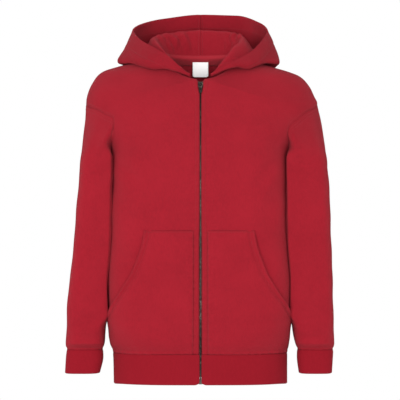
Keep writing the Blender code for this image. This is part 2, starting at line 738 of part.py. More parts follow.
HOOD_CURVES = {
    (side, name): Curve(HOOD[side], name, key="turn", level_end=True)
    for side in (RIGHT, LEFT) for name in HOOD_COLUMN_NAMES.split()[1:]
}


def make_hood():
    """Two halves of the hood, which meet on the seam over the middle of the back."""
    for side in (RIGHT, LEFT):
        turns = [blend(HOOD_START, HOOD_NEAR_CENTRE, share) for share in steps(HOOD_COLUMNS)]
        rows = [hood_section(side, turn) for turn in turns + [180]]
        cloth("hood_" + SIDE_NAMES[side], rows, HOOD_CLOTH, FLEECE_LOOK,
              Vector((side, 0, 0)), centred=True)


# -------------------------------------------------------------------------- zip

def zip_point(across, depth, height):
    """Point behind the front's middle line, at a depth from its outer face."""
    return torso_layer(LEFT, FRONT, 0.0, height, -depth) + Vector((across, 0, 0))


def zip_heights(top, foot):
    """Heights between two ends, at the rows of the fronts and of the hem band."""
    neck_corner = NECK_CORNER_ROW
    yoke = [blend(UNDERARM, -FRONT_NECK_DROP, step) for step in steps(2 * neck_corner)]
    rows = list(HEM_ROWS) + list(BODY_ROWS) + yoke[1:]
    return [foot] + sorted(row for row in rows if foot + 0.002 < row < top - 0.002) + [top]


def zip_tilt():
    """Lean of the front's middle line at the slider, from upright."""
    reach = SLIDER_LENGTH / 2
    upper = zip_point(0, 0, SLIDER_HEIGHT + reach)
    lower = zip_point(0, 0, SLIDER_HEIGHT - reach)
    return math.atan2(upper.y - lower.y, upper.z - lower.z)


SLIDER_FRAME = (Matrix.Translation(zip_point(0, 0, SLIDER_HEIGHT))
                @ Matrix.Rotation(-zip_tilt(), 4, "X"))


def make_tapes():
    """Woven tapes behind the front edges; each one's inner edge holds the teeth."""
    for side in (RIGHT, LEFT):
        rows = []
        for height in zip_heights(ZIP_TOP, HEM_BOTTOM + SEAM):
            start = CHAIN_HALF_WIDTH + SEAM
            rows.append([
                zip_point(side * start, CHAIN_DEPTH, height),
                zip_point(side * (start + TAPE_STEP), TAPE_DEPTH, height),
                zip_point(side * TAPE_WIDTH, TAPE_DEPTH, height),
            ])
        cloth("zip_tape_" + SIDE_NAMES[side], rows, TAPE_THICKNESS, TAPE_LOOK,
              Vector((0, FRONT, 0)), centred=True)


def make_chain():
    """The closed teeth, from the slider to the retainer box."""
    top = SLIDER_HEIGHT - SLIDER_LENGTH * CHAIN_START
    foot = HEM_BOTTOM + BOX_LENGTH + SEAM * 3
    rows = []
    for height in zip_heights(top, foot):
        rows.append([zip_point(side * CHAIN_HALF_WIDTH, CHAIN_DEPTH, height)
                     for side in (RIGHT, LEFT)])
    cloth("zip_chain", rows, CHAIN_THICKNESS, METAL_LOOK, Vector((0, FRONT, 0)), centred=True)


def wedge(form, top_width, foot_width, length, near, far):
    """Tapered plate in the slider's frame, between two depths."""
    made = bmesh.ops.create_cube(form, size=1.0)["verts"]
    for vert in made:
        width = top_width if vert.co.z > 0 else foot_width
        depth = near if vert.co.y < 0 else far
        vert.co = Vector((vert.co.x * width, depth, vert.co.z * length))
    return made


def block(name, size, centre):
    """Box object in the slider's frame, used to build up the metal pieces."""
    form = bmesh.new()
    bmesh.ops.create_cube(form, size=1.0)
    for vert in form.verts:
        vert.co = Vector((vert.co[axis] * size[axis] + centre[axis] for axis in range(3)))
    mesh = bpy.data.meshes.new(name)
    form.to_mesh(mesh)
    form.free()
    return bpy.data.objects.new(name, mesh)


def joined(name, base, others, look, operation="UNION"):
    """The base object with the others added to it or cut from it, as one body."""
    COLLECTION.objects.link(base)
    for other in others:
        COLLECTION.objects.link(other)
        step = base.modifiers.new("Join", "BOOLEAN")
        step.operation = operation
        step.object = other
    depsgraph = bpy.context.evaluated_depsgraph_get()
    mesh = bpy.data.meshes.new_from_object(base.evaluated_get(depsgraph))
    mesh.name = name
    for used in [base] + others:
        bpy.data.objects.remove(used)
    mesh.materials.clear()
    return add_object(name, mesh, look)


def make_slider():
    """Slider around the top of the chain, with the bail that holds the pull tab."""
    front_near = FRONT_PLATE_FACE
    back_far = CHAIN_DEPTH + CHAIN_THICKNESS / 2 + SLIDER_CLEARANCE + SLIDER_PLATE
    plates = []
    for name, near in (("front_plate", front_near), ("back_plate", back_far - SLIDER_PLATE)):
        form = bmesh.new()
        wedge(form, SLIDER_TOP_WIDTH, SLIDER_FOOT_WIDTH, SLIDER_LENGTH, near, near + SLIDER_PLATE)
        mesh = bpy.data.meshes.new(name)
        form.to_mesh(mesh)
        form.free()
        plates.append(bpy.data.objects.new(name, mesh))
    post_centre = (SLIDER_LENGTH - POST_LENGTH) / 2 - POST_SETBACK
    post = block("post", (POST_WIDTH, back_far - front_near - WELD, POST_LENGTH),
                 (0, (back_far + front_near) / 2, post_centre))
    bail = [
        block("bail_top", (BAIL_WIDTH, BAIL_RISE + WELD, BAIL_WIDTH),
              (0, front_near - BAIL_RISE / 2 + WELD / 2, BAIL_HALF_LENGTH)),
        block("bail_foot", (BAIL_WIDTH, BAIL_RISE + WELD, BAIL_WIDTH),
              (0, front_near - BAIL_RISE / 2 + WELD / 2, -BAIL_HALF_LENGTH)),
        block("bail_bar", (BAIL_WIDTH, BAIL_WIDTH, 2 * BAIL_HALF_LENGTH + BAIL_WIDTH),
              (0, front_near - BAIL_RISE, 0)),
    ]
    made = joined("zip_slider", plates[0], [plates[1], post] + bail, METAL_LOOK)
    made.matrix_world = SLIDER_FRAME


def make_pull():
    """Pull tab: a plate with an eye, whose top bar runs through the bail."""
    plate_length = PULL_LENGTH - EYE_LENGTH
    plate = block("plate", (PULL_WIDTH, PULL_THICKNESS, plate_length),
                  (0, 0, -EYE_LENGTH - plate_length / 2))
    pieces = [block("bar", (PULL_WIDTH, EYE_BAR, EYE_BAR), (0, 0, 0))]
    for side in (RIGHT, LEFT):
        pieces.append(block("leg", (EYE_LEG, PULL_THICKNESS, EYE_LENGTH + WELD),
                            (side * (PULL_WIDTH - EYE_LEG) / 2, 0, -(EYE_LENGTH + WELD) / 2)))
    made = joined("zip_pull", plate, pieces, METAL_LOOK)
    made.matrix_world = SLIDER_FRAME @ Matrix.Translation((0, PULL_AXIS_DEPTH, PULL_AXIS_HEIGHT))


def make_box():
    """Retainer box that ends the zip at the hem."""
    depth = FLEECE + SEAM + CHAIN_THICKNESS
    middle = HEM_BOTTOM + BOX_LIFT + BOX_LENGTH / 2
    form = bmesh.new()
    bmesh.ops.create_cube(form, size=1.0)
    centre = zip_point(0, (BOX_SETBACK + depth) / 2, middle)
    for vert in form.verts:
        vert.co = Vector((vert.co.x * 2 * (CHAIN_HALF_WIDTH - BOX_TRIM),
                          vert.co.y * (depth - BOX_SETBACK),
                          vert.co.z * BOX_LENGTH)) + centre
    solid_from("zip_box", form, METAL_LOOK)


# ------------------------------------------------------------ neck tape, label

def make_neck_tape():
    """Tape over the back neck seam, on the inside."""
    rows = []
    for share in steps(NECK_TAPE_COLUMNS):
        turn = blend(-NECK_TAPE_REACH, NECK_TAPE_REACH, share)
        side = LEFT if turn >= 0 else RIGHT
        angle = math.radians(abs(turn))
        height, around = neckline(side, BACK, angle)
        outwards = Vector((side * math.sin(angle), math.cos(angle), 0))
        seam = torso_layer(side, BACK, around, height, -FLEECE)
        lower_height = height - NECK_TAPE_DROP
        lower_around = around_at(side, BACK, abs(seam.x) * NECK_TAPE_SPREAD, lower_height)
        lower = torso_layer(side, BACK, lower_around, lower_height, -FLEECE - NECK_TAPE_LAY)
        top = (seam + Vector((0, 0, FLEECE + NECK_TAPE_RISE))
               - outwards * (HOOD_CLOTH + NECK_TAPE_GAP))
        middle = (seam - Vector((0, 0, NECK_TAPE_SAG))
                  - outwards * (HOOD_CLOTH * 0.6 + NECK_TAPE_GAP))
        rows.append([top, middle, lower])
    cloth("neck_tape", rows, NECK_TAPE_CLOTH, RIB_LOOK, Vector((0, FRONT, 0)), centred=True)


def make_label():
    """Bare woven label that hangs from the neck tape."""
    rows = []
    for share in steps(LABEL_CELLS):
        height = LABEL_TOP - LABEL_HEIGHT * share
        out = LABEL_OUT + LABEL_LEAN * share
        rows.append([Vector((blend(-0.5, 0.5, u) * LABEL_WIDTH, out, height))
                     for u in steps(LABEL_CELLS)])
    cloth("neck_label", rows, LABEL_THICKNESS, LABEL_LOOK, Vector((0, FRONT, 0)), centred=True)


def main():
    """Builds every piece of the garment."""
    for thing in list(bpy.data.objects):
        bpy.data.objects.remove(thing)
    bpy.context.scene.collection.children.link(COLLECTION)
    make_fronts()
    make_back()
    make_hem_rib()
    make_pockets()
    make_sleeves()
    make_cuffs()
    make_hood()
    make_tapes()
    make_chain()
    make_slider()
    make_pull()
    make_box()
    make_neck_tape()
    make_label()


main()
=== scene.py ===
"""Child's zip-front hooded sweatshirt: the cloth, sewing and zip around its solids.

Metres, +Z up, the front faces -Y and the wearer's left is +X.  The sizes of the
form repeat those of the solids, so each piece of cloth lies where its solid is.
A point of the body is given by a height and by "around", from 0 at the middle of
the front or back to 1 at the side seam or the shoulder seam.
"""
import math
from collections import namedtuple

import bmesh
import bpy
import numpy as np
from mathutils import Matrix, Vector, kdtree


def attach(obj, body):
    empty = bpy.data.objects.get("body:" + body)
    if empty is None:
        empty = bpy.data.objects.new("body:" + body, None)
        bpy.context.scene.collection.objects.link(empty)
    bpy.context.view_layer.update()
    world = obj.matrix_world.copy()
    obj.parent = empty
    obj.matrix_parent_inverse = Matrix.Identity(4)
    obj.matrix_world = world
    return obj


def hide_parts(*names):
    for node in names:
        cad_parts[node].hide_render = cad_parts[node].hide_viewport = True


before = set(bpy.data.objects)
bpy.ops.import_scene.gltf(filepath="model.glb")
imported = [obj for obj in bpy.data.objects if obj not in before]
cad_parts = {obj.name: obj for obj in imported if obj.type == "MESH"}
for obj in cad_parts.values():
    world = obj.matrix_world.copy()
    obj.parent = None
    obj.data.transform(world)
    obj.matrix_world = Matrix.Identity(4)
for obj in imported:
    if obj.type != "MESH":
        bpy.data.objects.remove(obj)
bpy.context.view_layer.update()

bl_info = {
    "name": "Kids zip hoodie",
    "version": (1, 0, 0),
    "blender": (4, 5, 0),
    "location": "3D View > Sidebar > Hoodie",
    "description": "Builds the cloth, stitching and zip of a child's zip hoodie",
    "category": "Object",
}

GARMENT, PULL_TAB = "garment", "pull_tab"  # the two bodies that pieces ride on

# ---- sizes of the form

FLEECE = 0.0025
SEAM = 0.0003
NECK_HALF_WIDTH = 0.060
FRONT_NECK_DROP = 0.0417
BACK_NECK_DROP = 0.0020
NECK_ROUNDNESS = 1.6
SHOULDER_TIP = -0.0784
UNDERARM = -0.1680
BODY_END = -0.4737
HEM_TOP = BODY_END - SEAM
HEM_BOTTOM = -0.5210
SLEEVE_END = -0.4684
CUFF_TOP = SLEEVE_END - SEAM
CUFF_BOTTOM = -0.5064
SLEEVE_HANGS_FREE = -0.180
POCKET_TOP = -0.2794
POCKET_FOOT = -0.4732
POCKET_START = 0.0105
POCKET_SIDE = 0.993
NECK_CORNER = 0.6  # share of a yoke edge at which the neckline begins
RIGHT, LEFT = -1, 1
FRONT, BACK = -1, 1
SIDE_NAMES = {RIGHT: "right", LEFT: "left"}


def table(columns, *rows):
    """Rows of numbers with named columns."""
    row_type = namedtuple("Row", columns)
    return [row_type(*row) for row in rows]


TORSO = table(
    "height right left front back square",
    (0.0000, 0.0600, 0.0600, 0.0200, 0.0360, 2.30),
    (-0.0020, 0.0665, 0.0655, 0.0245, 0.0415, 2.30),
    (-0.0050, 0.0770, 0.0740, 0.0300, 0.0470, 2.30),
    (-0.0110, 0.1000, 0.0920, 0.0390, 0.0540, 2.30),
    (-0.0190, 0.1320, 0.1130, 0.0480, 0.0605, 2.30),
    (-0.0270, 0.1560, 0.1400, 0.0550, 0.0660, 2.35),
    (-0.0340, 0.1650, 0.1575, 0.0600, 0.0705, 2.40),
    (-0.0417, 0.1705, 0.1670, 0.0645, 0.0745, 2.40),
    (-0.0530, 0.1768, 0.1755, 0.0705, 0.0795, 2.45),
    (-0.0660, 0.1812, 0.1815, 0.0760, 0.0840, 2.50),
    (-0.0784, 0.1832, 0.1869, 0.0805, 0.0875, 2.50),
    (-0.0950, 0.1790, 0.1815, 0.0855, 0.0910, 2.50),
    (-0.1150, 0.1680, 0.1700, 0.0905, 0.0945, 2.75),
    (-0.1350, 0.1540, 0.1535, 0.0940, 0.0970, 3.10),
    (-0.1520, 0.1435, 0.1405, 0.0960, 0.0985, 3.80),
    (-0.1680, 0.1410, 0.1365, 0.0970, 0.0990, 4.40),
    (-0.2300, 0.1430, 0.1375, 0.0960, 0.0980, 4.70),
    (-0.3000, 0.1445, 0.1392, 0.0950, 0.0960, 4.80),
    (-0.3600, 0.1485, 0.1430, 0.0950, 0.0950, 4.90),
    (-0.4200, 0.1466, 0.1419, 0.0940, 0.0940, 4.60),
    (-0.4420, 0.1452, 0.1412, 0.0920, 0.0920, 4.00),
    (-0.4580, 0.1432, 0.1402, 0.0880, 0.0885, 3.40),
    (-0.4700, 0.1402, 0.1388, 0.0830, 0.0840, 3.00),
    (-0.4760, 0.1398, 0.1386, 0.0822, 0.0832, 3.00),
    (-0.4850, 0.1392, 0.1385, 0.0810, 0.0820, 3.00),
    (-0.5210, 0.1385, 0.1385, 0.0790, 0.0800, 3.00),
)

ARMHOLE = table(
    "share height_right around_right height_left around_left",
    (0.00, UNDERARM, 1.000, UNDERARM, 1.000),
    (0.16, -0.1570, 0.800, -0.1575, 0.800),
    (0.32, -0.1390, 0.640, -0.1425, 0.650),
    (0.44, -0.1200, 0.545, -0.1290, 0.570),
    (0.53, -0.1045, 0.521, -0.1170, 0.548),
    (0.61, -0.0990, 0.573, -0.1065, 0.602),
    (0.75, -0.0897, 0.648, -0.0930, 0.695),
    (1.00, SHOULDER_TIP, 1.000, SHOULDER_TIP, 1.000),
)

SLEEVE = table(
    "height outer_right inner_right outer_left inner_left front back",
    (SLEEVE_HANGS_FREE, 0.1921, 0.1350, 0.2021, 0.1322, -0.0790, 0.0690),
    (-0.2000, 0.1935, 0.1345, 0.2040, 0.1317, -0.0780, 0.0660),
    (-0.2320, 0.1960, 0.1335, 0.2056, 0.1305, -0.0760, 0.0600),
    (-0.2900, 0.2013, 0.1345, 0.2078, 0.1317, -0.0730, 0.0480),
    (-0.3400, 0.2055, 0.1378, 0.2092, 0.1350, -0.0700, 0.0380),
    (-0.4000, 0.2120, 0.1475, 0.2108, 0.1430, -0.0660, 0.0260),
    (-0.4400, 0.2138, 0.1512, 0.2123, 0.1465, -0.0630, 0.0180),
    (-0.4580, 0.2144, 0.1522, 0.2125, 0.1500, -0.0600, 0.0110),
    (-0.4635, 0.2138, 0.1536, 0.2118, 0.1520, -0.0535, 0.0000),
    (-0.4668, 0.2125, 0.1545, 0.2106, 0.1532, -0.0500, -0.0040),
    (SLEEVE_END, 0.2125, 0.1545, 0.2106, 0.1532, -0.0500, -0.0040),
)

CUFF = table(
    "height outer_right inner_right outer_left inner_left front back",
    (CUFF_TOP, 0.2125, 0.1545, 0.2106, 0.1532, -0.0500, -0.0040),
    (-0.4705, 0.2125, 0.1545, 0.2106, 0.1532, -0.0500, -0.0040),
    (-0.4800, 0.2135, 0.1542, 0.2102, 0.1530, -0.0490, -0.0030),
    (CUFF_BOTTOM, 0.2150, 0.1597, 0.2084, 0.1560, -0.0500, -0.0060),
)
SLEEVE_SQUARE = table(
    "height square",
    (SLEEVE_HANGS_FREE, 5.0),
    (-0.3600, 5.4),
    (-0.4200, 5.0),
    (-0.4500, 3.6),
    (SLEEVE_END, 3.0),
)
SHOULDER_FULLNESS = {RIGHT: 0.0013, LEFT: 0.0045}  # of a sleeve's head, outwards
CORNER_END = 0.45  # share at which its corners beside the body are full
CORNER_TURN = 0.14  # of those corners from the underarm, in turns
CORNER_WIDTH = 0.10
FULLNESS_END = 0.74  # share of the shoulder's length at which it has gone

ZIP_GAP = table(
    "height half",
    (-0.0417, 0.0060),
    (-0.0600, 0.0057),
    (-0.0760, 0.0030),
    (-0.2600, 0.0027),
    (-0.3100, 0.0036),
    (HEM_BOTTOM, 0.0036),
)

# Half of the slit that the cloth's soft edges leave open over the zip.
SLIT = table(
    "height half",
    (-0.0417, 0.0040),
    (-0.0550, 0.0037),
    (-0.0600, 0.0022),
    (-0.0650, 0.0012),
    (-0.1500, 0.0010),
    (-0.2700, 0.0014),
    (-0.3000, 0.0019),
    (HEM_BOTTOM, 0.0019),
)

POCKET_MOUTH = table(
    "height share",
    (POCKET_TOP, 0.612),
    (-0.2900, 0.618),
    (-0.3450, 0.726),
    (-0.3760, 0.847),
    (-0.4000, 0.950),
    (-0.4200, POCKET_SIDE),
)

# Upright sections of the hood around the neckline, from its front end (16 degrees)
# to its centre seam (180): crest, fall, floor, side and rim, out and up from the seam.
HOOD_PLACES = ("crest", "fall", "floor", "side", "rim")
HOOD_COLUMNS = ("turn crest_out crest_up fall_out fall_up floor_out floor_up "
                "side_out side_up rim_out rim_up")
HOOD = {
    RIGHT: table(
        HOOD_COLUMNS,
        (16, .0010, .0045, .0045, .0065, .0075, .0060, .0100, .0080, .0105, .0120),
        (30, .0010, .0060, .0060, .0072, .0110, .0030, .0155, .0055, .0160, .0155),
        (45, .0025, .0080, .0090, .0060, .0165, -.0030, .0215, .0025, .0185, .0200),
        (60, .0060, .0130, .0150, .0030, .0300, -.0130, .0370, -.0010, .0260, .0210),
        (75, .0120, .0190, .0250, .0050, .0450, -.0140, .0535, -.0045, .0370, .0240),
        (90, .0150, .0238, .0300, .0080, .0640, -.0125, .0706, -.0070, .0474, .0340),
        (105, .0175, .0280, .0330, .0050, .0630, -.0170, .0700, -.0015, .0530, .0430),
        (125, .0160, .0342, .0350, -.0050, .0620, -.0420, .0780, -.0050, .0560, .0544),
        (150, .0140, .0402, .0370, -.0200, .0660, -.0900, .0880, -.0350, .0590, .0658),
        (180, .0125, .0418, .0390, -.0300, .0680, -.1250, .0950, -.0500, .0560, .0734),
    ),
    LEFT: table(
        HOOD_COLUMNS,
        (16, .0010, .0055, .0050, .0070, .0085, .0055, .0115, .0080, .0120, .0120),
        (30, .0015, .0120, .0075, .0095, .0135, .0035, .0180, .0060, .0175, .0125),
        (45, .0028, .0180, .0105, .0110, .0190, .0000, .0250, .0025, .0225, .0115),
        (60, .0030, .0215, .0130, .0120, .0300, -.0110, .0370, -.0040, .0290, .0120),
        (75, .0060, .0215, .0200, .0110, .0430, -.0110, .0500, -.0040, .0370, .0190),
        (90, .0080, .0248, .0240, .0100, .0600, -.0150, .0670, -.0080, .0464, .0310),
        (105, .0120, .0290, .0290, .0060, .0600, -.0220, .0690, -.0020, .0525, .0418),
        (125, .0150, .0352, .0340, -.0050, .0620, -.0420, .0770, -.0070, .0570, .0564),
        (150, .0140, .0402, .0370, -.0200, .0660, -.0900, .0880, -.0350, .0590, .0708),
        (180, .0125, .0418, .0390, -.0300, .0680, -.1250, .0950, -.0500, .0560, .0734),
    ),
}
HOOD_CLOTH = 0.0026
HOOD_START = 16
HOOD_OVER_BODY = 0.0028  # least distance of the hood's middle layer from the body

CHAIN_HALF_WIDTH = 0.0027
CHAIN_THICKNESS = 0.0022
CHAIN_DEPTH = FLEECE + SEAM + CHAIN_THICKNESS / 2
TAPE_THICKNESS = 0.0006
TAPE_WIDTH = 0.0130
TAPE_DEPTH = FLEECE + 2 * SEAM + TAPE_THICKNESS / 2
ZIP_TOP = -0.0435
SLIDER_HEIGHT = -0.0500
SLIDER_LENGTH = 0.0110
SLIDER_TOP_WIDTH = 0.0094
SLIDER_FOOT_WIDTH = 0.0066
SLIDER_PLATE = 0.0011
SLIDER_CLEARANCE = 0.0005
FRONT_PLATE_FACE = CHAIN_DEPTH - CHAIN_THICKNESS / 2 - SLIDER_CLEARANCE - SLIDER_PLATE
BAIL_WIDTH = 0.0011
BAIL_RISE = 0.0032
BAIL_HALF_LENGTH = 0.0028
PULL_AXIS_DEPTH = FRONT_PLATE_FACE - (BAIL_RISE - BAIL_WIDTH / 2) / 2
PULL_AXIS_HEIGHT = 0.0008
PULL_LENGTH = 0.0165
PULL_WIDTH = 0.0054
PULL_THICKNESS = 0.0011
BOX_LENGTH = 0.0080

LABEL_WIDTH = 0.0250
LABEL_HEIGHT = 0.0240
LABEL_TOP = -0.0092
LABEL_OUT = 0.0404

# Walls of cloth that differ from the body's.
POCKET_CLOTH = 0.0020
HOOD_WALL = 0.0024
NECK_TAPE_CLOTH = 0.0010
LABEL_CLOTH = 0.0007

# Distances of the sewn rows from the edges or seams that they follow.
SEAM_ROWS = (0.0032, 0.0075)  # over the hem band and the cuffs
ZIP_ROW = 0.0068
NECK_ROW = 0.0045
ARMHOLE_ROW = 0.0055
MOUTH_ROWS = (0.0032, 0.0090)
POCKET_TOP_ROW = 0.0030
POCKET_FRONT_ROW = 0.0026
CENTRE_ROW = 0.0030  # beside the hood's centre seam
NECK_TAPE_ROW = 0.0012
HEM_GROOVE_RISE = 0.0052  # of a second groove over the hem band's seam
POCKET_GROOVE = 0.0030  # of the sewing at a pocket's mouth and top
POCKET_HEM = 0.0085  # at which the mouth's hem ends inside

# Troughs that seams and sewn rows draw into the cloth: width and depth.
GROOVES = {
    "neck": (0.0028, 0.0012),
    "shoulder": (0.0026, 0.0009),
    "armhole": (0.0036, 0.0003),
    "side": (0.0036, 0.0002),
    "zip": (0.0014, 0.00055),
    "hem": (0.0040, 0.0010),
    "over hem": (0.0022, 0.0005),
    "band": (0.0022, 0.0007),
    "pocket mouth": (0.0016, 0.0008),
    "pocket hem": (0.0036, 0.0024),
    "pocket top": (0.0022, 0.0005),
    "sleeve top": (0.0036, 0.0002),
    "sleeve foot": (0.0026, 0.0008),
    "hood hem": (0.0016, 0.0007),
    "hood centre": (0.0022, 0.0011),
}
ZIP_EDGE = 0.0012  # radius of the fronts' edges beside the zip
TURNED_EDGE = 0.0016  # and of the pockets' edges and the bands' feet

# Rough distances around the garment, which space out folds and gathers.
QUARTER_GIRTH = 0.20  # of the body
SLEEVE_GIRTH = 0.36
HOOD_RUN = 0.32  # from the front end to the centre seam
HOOD_STATION = 0.045  # between two stations across the hood


# ---- geometry

class Curve:
    """Smooth curve through one column of a table, without overshoot."""

    def __init__(self, rows, column, key="height", level_end=False):
        pairs = sorted((getattr(row, key), getattr(row, column)) for row in rows)
        self.keys = np.array([pair[0] for pair in pairs])
        self.values = np.array([pair[1] for pair in pairs])
        slopes = np.diff(self.values) / np.diff(self.keys)
        product = slopes[:-1] * slopes[1:]
        total = np.where(product > 0, slopes[:-1] + slopes[1:], 1.0)
        inner = np.where(product > 0, 2 * product / total, 0.0)
        last = 0.0 if level_end else slopes[-1]
        self.tangents = np.concatenate(([slopes[0]], inner, [last]))

    def __call__(self, position):
        position = np.asarray(position, dtype=float)
        index = np.clip(np.searchsorted(self.keys, position) - 1, 0, len(self.keys) - 2)
        span = self.keys[index + 1] - self.keys[index]
        share = np.clip((position - self.keys[index]) / span, 0, 1)
        leaving, arriving = self.tangents[index] * span, self.tangents[index + 1] * span
        return ((1 + 2 * share) * (1 - share) ** 2 * self.values[index]
                + share * (1 - share) ** 2 * leaving
                + share ** 2 * (3 - 2 * share) * self.values[index + 1]
                + share ** 2 * (share - 1) * arriving)


TORSO_CURVES = {name: Curve(TORSO, name)
                for name in ("right", "left", "front", "back", "square")}
YOKE = [row for row in TORSO if row.height >= SHOULDER_TIP]
RIDGE = {side: Curve(YOKE, "height", key=SIDE_NAMES[side]) for side in (RIGHT, LEFT)}
ARMHOLE_HEIGHT = {side: Curve(ARMHOLE, "height_" + SIDE_NAMES[side], key="share")
                  for side in (RIGHT, LEFT)}
ARMHOLE_AROUND = {side: Curve(ARMHOLE, "around_" + SIDE_NAMES[side], key="share")
                  for side in (RIGHT, LEFT)}
GAP = Curve(ZIP_GAP, "half")
SLIT_HALF = Curve(SLIT, "half")
MOUTH = Curve(POCKET_MOUTH, "share")
SQUARE = Curve(SLEEVE_SQUARE, "square")
HOOD_CURVES = {
    (side, name): Curve(HOOD[side], name, key="turn", level_end=True)
    for side in (RIGHT, LEFT) for name in HOOD_COLUMNS.split()[1:]
}


def blend(start, end, share):
    """Value between two numbers or arrays."""
    return start * (1 - share) + end * share


def steps(count):
    """Even shares from 0 to 1."""
    return np.linspace(0, 1, count + 1)


def ease(share):
    """Share held within 0 to 1 that leaves and arrives gently."""
    share = np.clip(share, 0, 1)
    return share * share * (3 - 2 * share)


def unit(vectors):
    """Vectors at length one."""
    length = np.linalg.norm(vectors, axis=-1, keepdims=True)
    return vectors / np.maximum(length, 1e-12)


def oval(angle, half_width, half_depth, square):
    """Points of a squared oval; angle 0 is on the depth axis."""
    sine, cosine = np.sin(angle), np.cos(angle)
    reach = (np.abs(sine) ** square + np.abs(cosine) ** square) ** (1 / square)
    return half_width * sine / reach, half_depth * cosine / reach


def torso_sizes(side, face, height):
    """Half width, depth and squareness of the body's outer face at a height."""
    width = TORSO_CURVES[SIDE_NAMES[side]](height)
    depth = TORSO_CURVES["front" if face == FRONT else "back"](height)
    return width, depth, TORSO_CURVES["square"](height)


def torso_point(side, face, around, height):
    """Points on the body's outer face."""
    width, depth, square = torso_sizes(side, face, height)
    across, out = oval(around * math.pi / 2, width, depth, square)
    height = height + 0 * across
    return np.stack([side * across, face * (out + SEAM / 2), height], axis=-1)


def torso_normal(side, face, around, height):
    """Outward directions of the body's outer face."""
    little = 0.0002
    around = around + 0 * height
    step = np.where(around > 0.5, -0.01, 0.01)
    here = torso_point(side, face, around, height)
    along = (torso_point(side, face, around + step, height) - here) / step[..., None]
    down = here - torso_point(side, face, around, height - little)
    return unit(np.cross(along, down)) * (side * -face)


def torso_layer(side, face, around, height, outwards=0.0):
    """Points at a distance outside the body's outer face, or inside if negative."""
    outwards = np.asarray(outwards)[..., None]
    around, height = np.broadcast_arrays(np.asarray(around, float), np.asarray(height, float))
    return (torso_point(side, face, around, height)
            + torso_normal(side, face, around, height) * outwards)


def around_at(side, face, across, height):
    """The "around" of the points that lie at a distance from the middle plane."""
    width, _, square = torso_sizes(side, face, height)
    share = np.minimum(across / width, 1.0) ** square
    return np.arctan2(share ** (1 / square), (1 - share) ** (1 / square)) * 2 / math.pi


def neckline(side, face, turn):
    """Height and around of the neckline at an angle from the front or the back."""
    drop = FRONT_NECK_DROP if face == FRONT else BACK_NECK_DROP
    height = -drop * np.maximum(np.cos(turn), 0.0) ** NECK_ROUNDNESS
    return height, around_at(side, face, NECK_HALF_WIDTH * np.sin(turn), height)


def middle_around(side, face, height):
    """Around of a panel's middle edge: the zip gap in front, the centre behind."""
    if face == BACK:
        return np.zeros_like(np.asarray(height, dtype=float))
    return around_at(side, face, GAP(height), height)


def grid_normals(points, closed=False):
    """Unit normals of a grid of points, from its rows and columns."""
    if closed:
        across = np.roll(points, -1, axis=1) - np.roll(points, 1, axis=1)
    else:
        across = np.gradient(points, axis=1)
    return unit(np.cross(across, np.gradient(points, axis=0)))


def run_lengths(points, axis=0):
    """Distance along a line, or each column (axis 0) or row (axis 1) of a grid."""
    pieces = np.linalg.norm(np.diff(points, axis=axis), axis=-1)
    start = np.zeros_like(np.take(pieces, [0], axis=axis))
    return np.concatenate([start, np.cumsum(pieces, axis=axis)], axis=axis)


def closed_rows(grid):
    """A grid whose rows end where they begin."""
    return np.concatenate([grid, grid[:, :1]], axis=1)


def from_edge(points, edge):
    """Distance of each point of a grid from one of its edges, along the grid."""
    if edge in ("first", "last"):
        run = run_lengths(points, 1)
        return run if edge == "first" else run[:, -1:] - run
    run = run_lengths(points, 0)
    return run if edge == "foot" else run[-1:] - run


def smooth_path(stations, cells):
    """Rows of points along smooth curves through arrays of stations."""
    ends = [2 * stations[0] - stations[1]] + stations + [2 * stations[-1] - stations[-2]]
    path = []
    for index in range(len(stations) - 1):
        before, start, end, after = ends[index:index + 4]
        for step in range(cells):
            t = step / cells
            path.append(0.5 * (2 * start + (end - before) * t
                               + (2 * before - 5 * start + 4 * end - after) * t * t
                               + (3 * start - before - 3 * end + after) * t ** 3))
    path.append(stations[-1])
    return np.stack(path, axis=1)


def values_at(places, run, values):
    """Columns of values along a line, read at places on its running length."""
    return np.stack([np.interp(places, run, column) for column in values.T], axis=-1)


def divided(line, count):
    """The same line divided evenly along its length."""
    run = run_lengths(line)
    return values_at(np.linspace(0, run[-1], count + 1), run, line)


def even_line(line, spacing):
    """The same line with points at an even spacing."""
    return divided(line, max(2, int(round(run_lengths(line)[-1] / spacing))))


# ---- making meshes

def grid_mesh(name, points, closed=False, flip=False, uv_start=None, uvs=None):
    """Surface through a grid of points, with a map in metres of cloth."""
    rows, columns = points.shape[:2]
    index = np.arange(rows * columns).reshape(rows, columns)
    wrapped = closed_rows(points) if closed else points
    if uvs is None:
        across, along = run_lengths(wrapped, 1), run_lengths(wrapped, 0)
        if uv_start is not None:
            across = across - across[:, [uv_start]]
        uvs = np.stack([across, along], axis=-1)
    right = np.roll(index, -1, axis=1) if closed else index[:, 1:]
    left = index if closed else index[:, :-1]
    corners = [left[:-1], right[:-1], right[1:], left[1:]]
    maps = [uvs[:-1, :-1], uvs[:-1, 1:], uvs[1:, 1:], uvs[1:, :-1]]
    if flip:
        corners, maps = corners[::-1], maps[::-1]
    quads = np.stack([corner.ravel() for corner in corners], axis=1)
    loops = np.stack([corner.reshape(-1, 2) for corner in maps], axis=1)
    mesh = bpy.data.meshes.new(name)
    mesh.from_pydata(points.reshape(-1, 3).tolist(), [], quads.tolist())
    layer = mesh.uv_layers.new(name="cloth")
    layer.data.foreach_set("uv", loops.ravel())
    mesh.shade_smooth()
    mesh.update()
    return mesh


def mesh_of(form, name):
    """Mesh with the shape of a form, which is freed."""
    mesh = bpy.data.meshes.new(name)
    form.to_mesh(mesh)
    form.free()
    return mesh


def form_of(meshes):
    """Form that joins meshes, which are removed."""
    form = bmesh.new()
    for mesh in meshes:
        form.from_mesh(mesh)
        bpy.data.meshes.remove(mesh)
    return form


